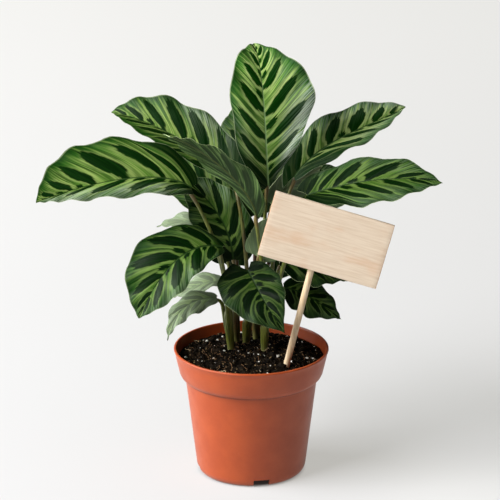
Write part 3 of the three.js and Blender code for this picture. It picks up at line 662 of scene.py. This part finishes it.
def streaks(shader, count, v, seed):
    """Soft and fine streaks along the side veins, and thin lines that follow them."""
    soft = shader.noise_at(count * 6, v * 0.9, seed, 2, 0.6)
    fine = shader.noise_at(count * 26, v * 1.5, seed + 3)
    wide_drawn = shader.noise_at(count * 5, v * 0.3, seed + 9, 0)
    close_drawn = shader.noise_at(count * 7, v * 0.4, seed + 6, 0)
    wide = shader.ramp(abs(wide_drawn - 0.5), 0.02, 0.09, 1, 0)
    close = shader.ramp(abs(close_drawn - 0.5), 0.02, 0.1, 0.85, 0)
    return soft, fine, shader.math("MAXIMUM", wide, close)


def leaf_upper_material(name, seed, look):
    """Light green ground with thin lines along the side veins, dark ovals, a green margin and a midrib,
    with silvery streaks of painted sheen and a painted highlight along the margin.
    """
    # The gain and tint paint light and shade: the leaf is lighter or darker for how much light falls on it.
    shader = Shader(name + "_upper", look["painted_light_gain"] * np.array(look["tint"]))
    mix, ramp = shader.mix, shader.ramp
    base, painted_sheen_to = look["base"], look["painted_sheen_to"]
    mask, ring, s, count, v, a, distance = oval_mask(shader, seed, 0.035, look)
    streak, fine, line = streaks(shader, count, v, seed)
    blotch = shader.noise_at(s * 3, v * 1.6, seed + 5)
    uneven = streak - 0.5
    # Painted sheen: pale silvery streaks that stand for a highlight, strongest toward the base on the
    # midrib.
    painted_sheen_mask = ramp(blotch, 0.4, 0.62, 1, 0.4) * ramp(fine, 0.4, 0.54) * ramp(a, 0.2, 0.7)
    painted_sheen_mask = painted_sheen_mask * ramp(v, -0.05, 0.05, *look["painted_sheen"])
    painted_sheen_mask = painted_sheen_mask * ramp(s, painted_sheen_to - 0.1, painted_sheen_to + 0.15, 1, 0.1) * ramp(mask, 0, 1, 1, 0.12)
    rib = ramp(distance - ramp(s, 0, 1, 0.0085, 0.003), -0.003, 0.002, 0.9, 0)
    rib_light = ramp(s, 0.4, 0.8, look["rib_pale"], 0)
    colour = shader.layers(
        (152, 180, 94),
        (ramp(streak, 0.35, 0.65), (100, 144, 54)),
        (ramp(blotch, 0.4, 0.7, 0, 0.5), (58, 108, 30)),
        (line * ramp(a, 0.1, 0.5, 0.5, 0.9), (12, 54, 6)),
        (ring * ramp(a, 0.7, 0.9, 0.5, 0), (166, 190, 108)),
        (ramp(fine, 0.46, 0.64, 0, 0.4), (54, 98, 28)),
        (ramp(a + uneven * 0.9, 0.58, 1, 0, 0.8), (32, 84, 18)),
        (ramp(a + uneven * 0.3, 0.85, 1, 0, 0.9), (16, 58, 9)),
        (mask, mix(ramp(fine, 0.4, 0.7, 0, 0.6), (2, 36, 0), (22, 66, 12))),
        # Painted sheen.
        (painted_sheen_mask, (196, 212, 186)),
        (ramp(s + uneven * 0.12, base - 0.12, base, 0.92, 0), (6, 38, 4)),
        (rib, mix(rib_light, (20, 58, 14), (130, 164, 100))),
        # Painted highlight: a thin pale line at the margin for the light that it catches.
        (ramp(a, 0.972, 0.99, 0, 0.5), (170, 188, 140)),
        (look["pale"], (158, 173, 144)),
    )
    shader.bump(fine + streak, 0.00022, 0.7)
    return shader.finish(colour, ramp(streak, 0.3, 0.7, 0.36, 0.48), 0.06)


def leaf_under_material(name, seed, look):
    """Grey-green underside that lets the ovals show as dark stripes."""
    # The under gain and tint paint light and shade on the underside.
    shader = Shader(name + "_under", look["under"] * np.array(look["tint"]))
    ramp = shader.ramp
    mask, _, _, count, v, _, distance = oval_mask(shader, seed, 0.06, look)
    streak, fine, line = streaks(shader, count, v, seed)
    colour = shader.layers(
        (156, 182, 118),
        (ramp(streak, 0.35, 0.65), (52, 90, 28)),
        (ramp(fine, 0.42, 0.62, 0, 0.6), (24, 54, 10)),
        (line * 0.8, (8, 34, 3)),
        (mask * 0.9, (8, 34, 3)),
        (ramp(distance, 0.006, 0.011, 1, 0), (92, 98, 54)),
        (look["pale"], (136, 158, 120)),
    )
    shader.bump(fine + streak, 0.0002, 0.6)
    return shader.finish(colour, 0.52, 0.15)


def spotted_material(name, scale, detail, first, second, roughness, specular):
    """Two colours that a fine noise mixes."""
    shader = Shader(name)
    spots = shader.noise(shader.place(), scale, detail)
    return shader.finish(shader.mix(spots, first, second), roughness, specular)


def spaced_starts(rng, number):
    """Places of the large ovals for a half leaf that names none."""
    step = 0.86 / (number - 1)
    return tuple(0.03 + step * i + rng.uniform(-0.15, 0.15) * step for i in range(number))


def make_leaves():
    # Painted highlight: pale edge faces for the light that the margins catch.
    edge = spotted_material("leaf_edge", 180.0, 2.0, (140, 162, 100), (188, 200, 156), 0.45, 0.5)
    for index, (name, given) in enumerate(LEAVES.items()):
        rng = random.Random(SEED + index)
        leaf = {**LEAF_SHAPE, **given}
        number = 6 if leaf_length(leaf) > 90 else 5
        leaf.setdefault("left", spaced_starts(rng, number))
        leaf.setdefault("right", spaced_starts(rng, number))
        look = {**LOOK, **LEAF_LOOK.get(name, {})}
        seed = 1.7 * index + 0.9
        vertices, faces, kinds, maps = blade_mesh(leaf, index)
        upper = leaf_upper_material(name, seed, look)
        under = leaf_under_material(name, seed, look)
        make_piece(name + "_blade", name, vertices, faces, [upper, under, edge], kinds, maps)


def ring_faces(count, sides, first, start, last):
    """Faces round count rings of vertices, numbered from start on, closed by a point at each end."""
    faces = []
    top = start + (count - 1) * sides
    for k in range(sides):
        after = (k + 1) % sides
        faces.append((first, start + after, start + k))
        for low in range(start, top, sides):
            faces.append((low + k, low + after, low + sides + after, low + sides + k))
        faces.append((top + k, top + after, last))
    return faces


def tube(centres, radii, sides, seam=0.0):
    """Rings round a line of centres, closed by a point at each end: vertices, faces, and each vertex's
    share along the line. seam is the depth of a groove along the tube."""
    centres = np.asarray(centres, float)
    radii = np.asarray(radii, float)
    along = unit(np.gradient(centres, axis=0))
    side = unit(np.cross(along[0], [0.3, 1.0, 0.2]))
    angles = 2 * np.pi * np.arange(sides) / sides
    groove = np.exp(-((angles - SEAM["angle"]) / SEAM["width"]) ** 2) * seam
    rings = []
    for centre, direction, radius in zip(centres, along, radii):
        side = unit(side - direction * np.dot(side, direction))
        other = np.cross(direction, side)
        out = np.cos(angles)[:, None] * side + np.sin(angles)[:, None] * other
        rings.append(centre + out * (radius - groove)[:, None])
    count = len(centres)
    vertices = np.concatenate([*rings, centres[:1], centres[-1:]])
    faces = ring_faces(count, sides, count * sides, 0, count * sides + 1)
    share = np.concatenate([np.repeat(np.linspace(0, 1, count), sides), [0.0, 1.0]])
    return vertices, faces, share


def merge(parts):
    """Joins vertices, faces and vertex values of several parts."""
    vertices, faces, values = [], [], []
    start = 0
    for part_vertices, part_faces, part_values in parts:
        vertices.append(part_vertices)
        faces += [tuple(start + int(i) for i in face) for face in part_faces]
        values.append(part_values)
        start += len(part_vertices)
    return np.concatenate(vertices), faces, np.concatenate(values)


def seat_point(leaf):
    place, _, up, _ = rib_frame(leaf, np.array(SEAT))
    return place - up * (SEAT_DROP - PETIOLE["reach"])


def stalk_radius(t):
    start = PETIOLE["joint_start"]
    stem = PETIOLE["base"] + (PETIOLE["middle"] - PETIOLE["base"]) * t / start
    joint = PETIOLE["middle"] + (PETIOLE["joint"] - PETIOLE["middle"]) * (t - start) / (1 - start)
    return np.where(t < start, stem, joint)


def stalk_part(points, leaf, red, rng):
    """A petiole from inside the sheath to its swollen joint under the blade."""
    line = (*points, seat_point(leaf))
    t = np.linspace(0, 1, 70)
    centres = cubic(line, t)
    radii = stalk_radius(t)
    swell = 0.18 * np.exp(-((t - 0.95) / 0.03) ** 2)
    radii = (radii + swell) * (1 + 0.03 * np.sin(9 * t + rng.uniform(0, 6)))
    radii[-3:] *= (0.92, 0.72, 0.4)
    vertices, faces, share = tube(centres, radii, 14, 0.12)
    values = np.stack([share, np.full_like(share, red + rng.uniform(-0.15, 0.15))], -1)
    return vertices, faces, values


def sheath_part(shoot, rng):
    """The sheath round the feet of the stalks, narrower where it leaves the soil."""
    foot_x, foot_y, foot_radius = shoot["foot"]
    top_x, top_y, top_z, top_radius = shoot["top"]
    z = np.linspace(SHEATH["bottom"], top_z + SHEATH["over"], 40)
    rise = np.clip((z - SOIL["crown"]) / (top_z - SOIL["crown"]), 0, 1)
    centres = np.stack([foot_x + (top_x - foot_x) * rise, foot_y + (top_y - foot_y) * rise, z], -1)
    waist = foot_radius - 0.5 * np.exp(-((z - SHEATH["waist"]) / 5.0) ** 2)
    radii = waist + (top_radius - foot_radius) * rise
    radii[-4:] *= (0.96, 0.88, 0.76, 0.55)
    vertices, faces, share = tube(centres, radii, 28, 0.45)
    lean = rng.uniform(0, 2 * math.pi)
    around = np.cos(np.arctan2(vertices[:, 1] - top_y, vertices[:, 0] - top_x) - lean)
    high = np.clip((vertices[:, 2] - top_z) / SHEATH["slant"] + 1, 0, 1)
    vertices[:, 2] -= 3.0 * high * (0.5 + 0.5 * around)
    values = np.stack([share * 0.3, np.full_like(share, shoot["red"])], -1)
    return vertices, faces, values


def shoot_material():
    """Green to red-brown stalks with lines along them and yellow-brown joints under the blades."""
    shader = Shader("shoot")
    mix, ramp = shader.mix, shader.ramp
    share, red = shader.uv("stalk")
    place = shader.place()
    x, y, z = shader.split(place)
    lines = shader.noise_at(x * 900, y * 900, z * 30, 3)
    patches = shader.noise(place, 60, 3)
    lined = ramp(lines, 0.35, 0.7)
    colour = shader.layers(
        mix(lined, (104, 110, 38), (48, 60, 16)),
        (ramp(red + (patches - 0.5) * 0.7, 0.3, 0.8), mix(lined, (80, 44, 25), (42, 27, 17))),
        (ramp(z, 0.094, 0.106, 0.6, 0), (120, 122, 66)),
        (ramp(share, 0.86, 0.93), (104, 90, 48)),
    )
    shader.bump(lines, 0.0003, 0.6)
    return shader.finish(colour, 0.42, 0.45)


def make_shoots():
    material = shoot_material()
    for index, (name, shoot) in enumerate(SHOOTS.items()):
        rng = random.Random(SEED + 100 + index)
        parts = [sheath_part(shoot, rng)]
        for leaf_name, points in shoot["stalks"].items():
            leaf = {**LEAF_SHAPE, **LEAVES[leaf_name]}
            parts.append(stalk_part(points, leaf, shoot["red"], rng))
        vertices, faces, values = merge(parts)
        make_piece(name + "_stalks", name, vertices, faces, [material], maps={"stalk": values})


def pot_outside():
    r, h = RIM_RADIUS, POT_HEIGHT
    return [
        (r - 0.5, h), (r, h - 0.15), (r + 0.3, h - 0.6), (r + 0.3, h - 1.3), (r - 0.1, h - 1.9),
        (r - 0.4, h - 2.4), (r - 1, h - 6), (r - 4, h - 19),
        (r - 5, h - 21.2), (r - 6.2, h - 22.4), (r - 7.7, h - 23.1), (r - 8.4, h - 23.8),
        (r - 8.7, h - 24.8), (r - 8.9, h - 26), (r - 17.2, 6.5), (r - 17.5, 4.8), (r - 18.1, 3.2),
        (r - 19, 1.8), (r - 20.2, 0.7), (r - 21.2, 0.2), (r - 22, 0),
    ]


def pot_inside():
    r, h, wall = RIM_RADIUS, POT_HEIGHT, POT_WALL
    return [
        (r - 17.4 - wall, POT_FLOOR[1]), (r - 8.9 - wall, h - 27), (r - 8.4 - wall, h - 24.6),
        (r - 6 - wall, h - 23), (r - 4 - wall, h - 19.6), (r - 1.2 - wall, h - 6), (r - 0.4 - wall, h - 1.5),
        (r - 0.2 - wall, h - 0.3), (r + 0.1 - wall, h),
    ]


def lathe(profile, segments):
    """A body of revolution from a profile that starts and ends on the axis: vertices and faces."""
    rings = profile[1:-1]
    angles = 2 * np.pi * np.arange(segments) / segments
    vertices = [(0.0, 0.0, profile[0][1])]
    for r, z in rings:
        vertices += [(r * math.cos(a), r * math.sin(a), z) for a in angles]
    vertices.append((0.0, 0.0, profile[-1][1]))
    return np.array(vertices), ring_faces(len(rings), segments, 0, 1, len(vertices) - 1)


def cutter(vertices, faces):
    mesh = bpy.data.meshes.new("cutter")
    mesh.from_pydata((np.asarray(vertices) * MM).tolist(), [], faces)
    return add_object("cutter", mesh)


def notch_block(angle):
    w, l, h = NOTCH["width"] / 2, NOTCH["length"] / 2, NOTCH["height"]
    corners = [(x, -NOTCH["circle"] + y, z) for x in (-w, w) for y in (-l, l) for z in (-h, h)]
    turned = [Matrix.Rotation(angle, 3, "Z") @ Vector(corner) for corner in corners]
    faces = [(0, 1, 3, 2), (4, 6, 7, 5), (0, 4, 5, 1), (2, 3, 7, 6), (0, 2, 6, 4), (1, 5, 7, 3)]
    return [tuple(corner) for corner in turned], faces


def drain_block(angle):
    x, y = DRAIN["circle"] * math.cos(angle), DRAIN["circle"] * math.sin(angle)
    profile = [(0, POT_FLOOR[0] - 1), (DRAIN["radius"], POT_FLOOR[0] - 1)]
    profile += [(DRAIN["radius"], POT_FLOOR[1] + 1), (0, POT_FLOOR[1] + 1)]
    vertices, faces = lathe(profile, 32)
    return vertices + np.array([x, y, 0.0]), faces


def cut(piece, blocks):
    """Cuts blocks out of a piece, and leaves the result as its mesh."""
    made = [cutter(vertices, faces) for vertices, faces in blocks]
    for block in made:
        modifier = piece.modifiers.new("cut", "BOOLEAN")
        modifier.operation = "DIFFERENCE"
        modifier.solver = "EXACT"
        modifier.object = block
    shape = piece.evaluated_get(bpy.context.evaluated_depsgraph_get())
    mesh = bpy.data.meshes.new_from_object(shape)
    piece.modifiers.clear()
    old = piece.data
    piece.data = mesh
    bpy.data.meshes.remove(old)
    for block in made:
        bpy.data.objects.remove(block)
    mesh.set_sharp_from_angle(angle=math.radians(38))


def pot_material():
    """Moulded terracotta-coloured plastic: even and satin, with faint mottling and painted shade in the
    crease.
    """
    shader = Shader("pot_plastic")
    ramp = shader.ramp
    place = shader.place()
    height = shader.split(place)[2]
    mottle = shader.noise(place, 55, 4, 0.6)
    grain = shader.noise(place, 1400)
    scuff = shader.noise(place, 240, 5, 0.7)
    colour = shader.layers(
        (165, 70, 25),
        (ramp(mottle, 0.3, 0.7), (155, 63, 21)),
        (ramp(scuff, 0.64, 0.76, 0, 0.15), (188, 104, 66)),
        # Painted shade along the crease under the band.
        (ramp(abs(height - POT_CREASE * MM), 0.0003, 0.0014, 0.6, 0), (110, 40, 14)),
    )
    shader.bump(grain + mottle * 0.6, 0.00006, 0.5)
    shader.set(Sheen_Weight=0.05, Sheen_Roughness=0.45)
    return shader.finish(colour, ramp(mottle, 0.3, 0.7, 0.38, 0.46), 0.42)


def make_pot():
    r = RIM_RADIUS
    skirt = [(r - 18.7, POT_FLOOR[0]), (r - 19.7, 3.2), (r - 21.4, 1.2), (r - 23.6, 0)]
    profile = [(0, 0), (BOSS_RADIUS, 0), (BOSS_RADIUS + 1, POT_FLOOR[0]), *skirt]
    profile += [*reversed(pot_outside()), *reversed(pot_inside()), (0, POT_FLOOR[1])]
    vertices, faces = lathe(profile, 192)
    pot = make_piece("pot_shell", "pot", vertices, faces, [pot_material()])
    turns = [math.radians(NOTCH["first"] + 360 * k / NOTCH["count"]) for k in range(NOTCH["count"])]
    drains = [2 * math.pi * (k + 0.5) / DRAIN["count"] for k in range(DRAIN["count"])]
    cut(pot, [notch_block(turn) for turn in turns] + [drain_block(angle) for angle in drains])


def inner_radius(z):
    """The pot's inner radius at a height."""
    inside = pot_inside()
    return float(np.interp(z, [p[1] for p in inside], [p[0] for p in inside]))


def soil_radius():
    return inner_radius(SOIL["edge"]) - GAP


def soil_height(x, y):
    """The soil's top: a mound with low bumps, lumps and crumbs."""
    edge, crown = SOIL["edge"], SOIL["crown"]
    radius = soil_radius()
    r = math.hypot(x, y)
    bump = math.sin(0.31 * x + 0.7) * math.cos(0.27 * y) + 0.6 * math.sin(0.19 * x - 0.43 * y)
    inland = min(max((radius - r) / SOIL["fade"], 0), 1)
    lumps = sum(noise.noise(Vector((x * fine, y * fine, layer))) * high for fine, layer, high in SOIL_LUMPS)
    rough = lumps * (0.4 + 0.6 * inland)
    return edge + (crown - edge) * (1 - (r / radius) ** 2) + SOIL["relief"] * bump * inland + rough


def soil_material():
    """Moist dark potting mix with pale flecks."""
    shader = Shader("soil_mix")
    ramp = shader.ramp
    place = shader.place()
    crumbs = shader.noise(place, 420, 5, 0.7)
    patches = shader.noise(place, 90, 3)
    flecks = shader.noise(place, 520, 1)
    colour = shader.layers(
        (3, 2, 1),
        (ramp(crumbs, 0.35, 0.75), (32, 24, 14)),
        (ramp(patches, 0.55, 0.8, 0, 0.3), (54, 38, 21)),
        (ramp(flecks, 0.68, 0.73, 0, 0.85), (158, 132, 96)),
    )
    shader.bump(crumbs, 0.0008, 0.9)
    return shader.finish(colour, ramp(crumbs, 0.3, 0.7, 0.95, 0.6), 0.06)


def make_soil(material):
    """The soil's body: a rough top, and a side that follows the pot's inner wall."""
    segments, rings = 200, 64
    floor = POT_FLOOR[1] + GAP
    angles = [2 * math.pi * k / segments for k in range(segments)]
    turns = [(math.cos(angle), math.sin(angle)) for angle in angles]
    vertices = [(0.0, 0.0, soil_height(0.0, 0.0))]
    for ring in range(rings):
        r = soil_radius() * (ring + 1) / rings
        vertices += [(r * c, r * s, soil_height(r * c, r * s)) for c, s in turns]
    for z in (*SOIL_SIDE, floor):
        r = inner_radius(z) - GAP
        vertices += [(r * c, r * s, z) for c, s in turns]
    vertices.append((0.0, 0.0, floor))
    inward = ring_faces(rings + len(SOIL_SIDE) + 1, segments, 0, 1, len(vertices) - 1)
    faces = [(face[0], *face[:0:-1]) for face in inward]
    make_piece("soil_bed", "soil", np.array(vertices), faces, [material])


def ball(detail):
    """Vertices and faces of a unit icosphere."""
    mesh = bmesh.new()
    bmesh.ops.create_icosphere(mesh, subdivisions=detail, radius=1.0)
    vertices = np.array([v.co[:] for v in mesh.verts])
    faces = [tuple(v.index for v in face.verts) for face in mesh.faces]
    mesh.free()
    return vertices, faces


def crumb(shape, place, radius, stretch, rng):
    """A lump of random form: a ball that is dented, stretched and turned."""
    vertices, faces = shape
    dents = np.array([1 + rng.uniform(-0.28, 0.28) for _ in range(len(vertices))])
    sides = [rng.uniform(1 / stretch, stretch) for _ in range(2)]
    sizes = np.array([*sides, rng.uniform(0.6, 1.0)])
    turn = Matrix.Rotation(rng.uniform(0, 6.3), 3, "Z") @ Matrix.Rotation(rng.uniform(-0.6, 0.6), 3, "X")
    body = (vertices * dents[:, None] * sizes) @ np.array(turn).T
    return body * radius + np.array(place), faces, np.zeros((len(vertices), 2))


def random_spot(rng, reach):
    """An even random place on the soil, within a reach of the axis."""
    r = reach * math.sqrt(rng.random())
    angle = rng.uniform(0, 2 * math.pi)
    return r * math.cos(angle), r * math.sin(angle)


def make_crumbs(material):
    rng = random.Random(SEED + 200)
    parts = []
    for number, low, high, detail, stretch in CRUMBS:
        shape = ball(detail)
        for _ in range(number):
            radius = rng.uniform(low, high)
            x, y = random_spot(rng, soil_radius() - 1.2 * stretch * radius)
            z = soil_height(x, y) + radius * rng.uniform(-0.35, 0.35)
            parts.append(crumb(shape, (x, y, z), radius, stretch, rng))
    vertices, faces, _ = merge(parts)
    make_piece("soil_crumbs", None, vertices, faces, [material], sharp=70.0)


def perlite_material():
    """Porous white grains."""
    shader = Shader("perlite")
    pores = shader.noise(shader.place(), 1500, 3)
    colour = shader.mix(shader.ramp(pores, 0.35, 0.6), (190, 182, 168), (252, 250, 244))
    shader.bump(pores, 0.0003, 0.8)
    return shader.finish(colour, 0.85, 0.3)


def make_perlite():
    rng = random.Random(SEED + 300)
    shape = ball(2)
    limit = soil_radius() - 1.5
    spots = list(PERLITE)
    for _ in range(SMALL_GRAINS):
        spots.append((*random_spot(rng, limit), rng.uniform(0.25, 0.6)))
    parts = []
    for x, y, radius in spots:
        parts.append(crumb(shape, (x, y, soil_height(x, y) + 0.45 * radius), 0.82 * radius, 1.35, rng))
    vertices, faces, _ = merge(parts)
    make_piece("soil_perlite", None, vertices, faces, [perlite_material()])


def strand(start, heading, length, radius, rng, lift):
    """A thin strand that wanders along the soil's top."""
    x, y = start
    centres = []
    steps = 14
    for i in range(steps):
        z = soil_height(x, y) + radius + lift * math.sin(math.pi * i / (steps - 1))
        centres.append((x, y, z))
        heading += rng.uniform(-0.5, 0.5)
        x += length / steps * math.cos(heading)
        y += length / steps * math.sin(heading)
    radii = radius * np.linspace(1.0, 0.45, steps)
    vertices, faces, share = tube(centres, radii, 6)
    return vertices, faces, np.stack([share, share], -1)


def make_fibres():
    rng = random.Random(SEED + 400)
    limit = soil_radius() - 6
    fibres = []
    for _ in range(FIBRES):
        heading = rng.uniform(0, 2 * math.pi)
        start = random_spot(rng, limit)
        fibres.append(strand(start, heading, rng.uniform(4, 11), rng.uniform(0.1, 0.22), rng, 0.6))
    roots = [strand(*root[:4], rng, root[4]) for root in ROOTS]
    looks = {
        "soil_fibres": (fibres, "fibre_tan", (150, 112, 74), (92, 64, 42)),
        "soil_roots": (roots, "root_pale", (214, 196, 160), (160, 132, 96)),
    }
    for name, (parts, look, light, dark) in looks.items():
        vertices, faces, _ = merge(parts)
        material = spotted_material(look, 300.0, 3.0, light, dark, 0.7, 0.3)
        make_piece(name, None, vertices, faces, [material])


MARKER_SIDE = np.array([math.cos(math.radians(MARKER_YAW)), -math.sin(math.radians(MARKER_YAW)), 0.0])
UP = np.array([0.0, 0.0, 1.0])
MARKER_FRONT = np.cross(MARKER_SIDE, UP)


def stick_point(distance):
    """A place on the stick's axis, at a distance from the soil."""
    lean = math.radians(STICK["lean"])
    return np.array(STICK["foot"]) + distance * (MARKER_SIDE * math.sin(lean) + UP * math.cos(lean))


def wood_material(name, light, dark, warm, ends=1.0):
    """Bare wood with grain along the map's first direction, in metres, browner at its sawn ends."""
    shader = Shader(name)
    ramp = shader.ramp
    along, across = shader.uv("wood")
    grain = shader.noise_at(along * 30, across * 620, 0, 4, 0.65)
    wide = shader.noise_at(along * 16, across * 90, 4)
    patch = shader.noise_at(along * 32, across * 60, 6)
    pores = shader.noise_at(along * 160, across * 2400, 8, 1)
    colour = shader.layers(
        light,
        (ramp(grain, 0.35, 0.7), dark),
        (ramp(wide, 0.5, 0.72, 0, 0.3), dark),
        (ramp(patch, 0.5, 0.75, 0, 0.5), warm),
        (ramp(pores, 0.6, 0.72, 0, 0.3), dark),
        (ramp(abs(along), ends - 0.0009, ends, 0, 0.7), warm),
    )
    shader.bump(grain + pores, 0.00012, 0.6)
    return shader.finish(colour, ramp(grain, 0.3, 0.7, 0.62, 0.74), 0.3)


def make_board():
    """A sawn board with softened edges, cut into a fine net so that its faces can be uneven."""
    net = bmesh.new()
    bmesh.ops.create_cube(net, size=1.0)
    bmesh.ops.scale(net, vec=(BOARD["width"], BOARD["thickness"], BOARD["height"]), verts=net.verts)
    rounding = {"offset": BOARD_NET["bevel"], "segments": 3, "profile": 0.5, "affect": "EDGES"}
    bmesh.ops.bevel(net, geom=net.edges[:], **rounding)
    long_edges = [edge for edge in net.edges if edge.calc_length() > 20]
    bmesh.ops.subdivide_edges(net, edges=long_edges, cuts=BOARD_NET["cuts"], use_grid_fill=True)
    net.normal_update()
    for vertex in net.verts:
        uneven = sum(noise.noise(vertex.co * fine) * high for fine, high in BOARD_NET["waves"])
        vertex.co += vertex.normal * uneven
    local = np.array([v.co[:] for v in net.verts])
    faces = [tuple(v.index for v in face.verts) for face in net.faces]
    net.free()
    turn = math.radians(BOARD["turn"])
    centre = stick_point(BOARD["up"]) + MARKER_SIDE * BOARD["aside"]
    centre = centre + MARKER_FRONT * (STICK["radius"] + GAP + BOARD["thickness"] / 2)
    right = MARKER_SIDE * math.cos(turn) - UP * math.sin(turn)
    above = MARKER_SIDE * math.sin(turn) + UP * math.cos(turn)
    vertices = centre + local[:, :1] * right - local[:, 1:2] * MARKER_FRONT + local[:, 2:] * above
    grain = np.stack([local[:, 0], local[:, 2] + local[:, 1]], -1) * MM
    ends = BOARD["width"] / 2 * MM
    wood = wood_material("board_wood", *BOARD_TONES, ends)
    make_piece("marker_board_wood", "marker_board", vertices, faces, [wood], maps={"wood": grain})


def make_stick():
    """A round stick, slightly uneven along its length, with a softened top."""
    top = STICK["above"]
    distances = np.array([*np.linspace(-STICK["depth"], top - 0.8, 60), top - 0.3, top])
    centres = [stick_point(distance) for distance in distances]
    uneven = [noise.noise(Vector((distance * 0.2, 0, 0))) for distance in distances]
    radii = STICK["radius"] * (1 + 0.012 * np.array(uneven))
    radii[-2:] *= (0.93, 0.8)
    vertices, faces, share = tube(centres, radii, 40)
    along = share * (top + STICK["depth"])
    around = (vertices - stick_point(0.0)) @ (MARKER_FRONT + 0.7 * MARKER_SIDE)
    maps = {"wood": np.stack([along, around], -1) * MM}
    wood = wood_material("stick_wood", *STICK_TONES)
    make_piece("marker_stick_wood", "marker_stick", vertices, faces, [wood], maps=maps)


def floor_material():
    """Pale paper that glows with painted light: weaker at the far right and brighter at the front right,
    with a painted shadow under the pot.
    """
    shader = Shader("floor_paper")
    ramp = shader.ramp
    place = shader.place()
    x, y, _ = shader.split(place)
    spots = shader.noise(place, 3)
    # Painted light: the glow is stronger at the back and the left, weaker at the far right, brighter at the
    # front right.
    glow = ramp(y, -0.2, 1.8, 0.5, 0.68) + ramp(x, -0.4, 0.4, 0.01, -0.04)
    glow = glow * ramp(x, 0.35, 1.2, 1, 0.75) + ramp(y, -0.07, 0.05, 0.1, 0) * ramp(x, 0.04, 0.16)
    away = shader.math("SQRT", x * x + y * y)
    # Painted shadow under the pot: the glow all but goes out inside the foot's ring.
    glow = glow * ramp(away, 0.035, 0.044, 0.03, 1)
    shader.set(Emission_Strength=glow, Emission_Color=(1, 0.99, 0.93, 1))
    return shader.finish(shader.mix(spots, (134, 135, 140), (132, 133, 138)), 0.9, 0.1)


def make_floor():
    """A plain pale floor."""
    mesh = bpy.data.meshes.new("floor")
    far = FLOOR_REACH
    mesh.from_pydata([(-far, -far, 0), (far, -far, 0), (far, far, 0), (-far, far, 0)], [], [(0, 1, 2, 3)])
    mesh.materials.append(floor_material())
    floor = add_object("floor", mesh)


def point_at(thing, at, aim):
    """Puts a light or a camera at a place and turns it toward its aim."""
    thing.location = at
    thing.rotation_euler = (Vector(aim) - Vector(at)).to_track_quat("-Z", "Y").to_euler()


def make_lights():
    """A large soft window at the left front, weak ones at the left and above, and a pale surround."""
    for name, at, aim, size, watts, colour in LIGHTS:
        lamp = bpy.data.lights.new(name, "AREA")
        lamp.shape = "RECTANGLE"
        lamp.size = lamp.size_y = size
        lamp.energy = watts
        lamp.color = colour
        point_at(add_object(name, lamp), at, aim)
    world = bpy.data.worlds.new("surround")
    world.use_nodes = True
    background = world.node_tree.nodes["Background"]
    background.inputs["Color"].default_value = SURROUND["colour"]
    background.inputs["Strength"].default_value = SURROUND["strength"]
    bpy.context.scene.world = world


def make_camera():
    lens = bpy.data.cameras.new("camera")
    lens.lens = LENS_MM
    lens.sensor_width = SENSOR_MM
    camera = add_object("camera", lens)
    point_at(camera, CAMERA_AT, CAMERA_AIM)
    bpy.context.scene.camera = camera


bpy.context.scene.view_settings.view_transform = "Standard"
make_camera()
make_lights()
make_floor()
make_pot()
soil_look = soil_material()
make_soil(soil_look)
make_crumbs(soil_look)
make_perlite()
make_fibres()
make_shoots()
make_leaves()
make_board()
make_stick()
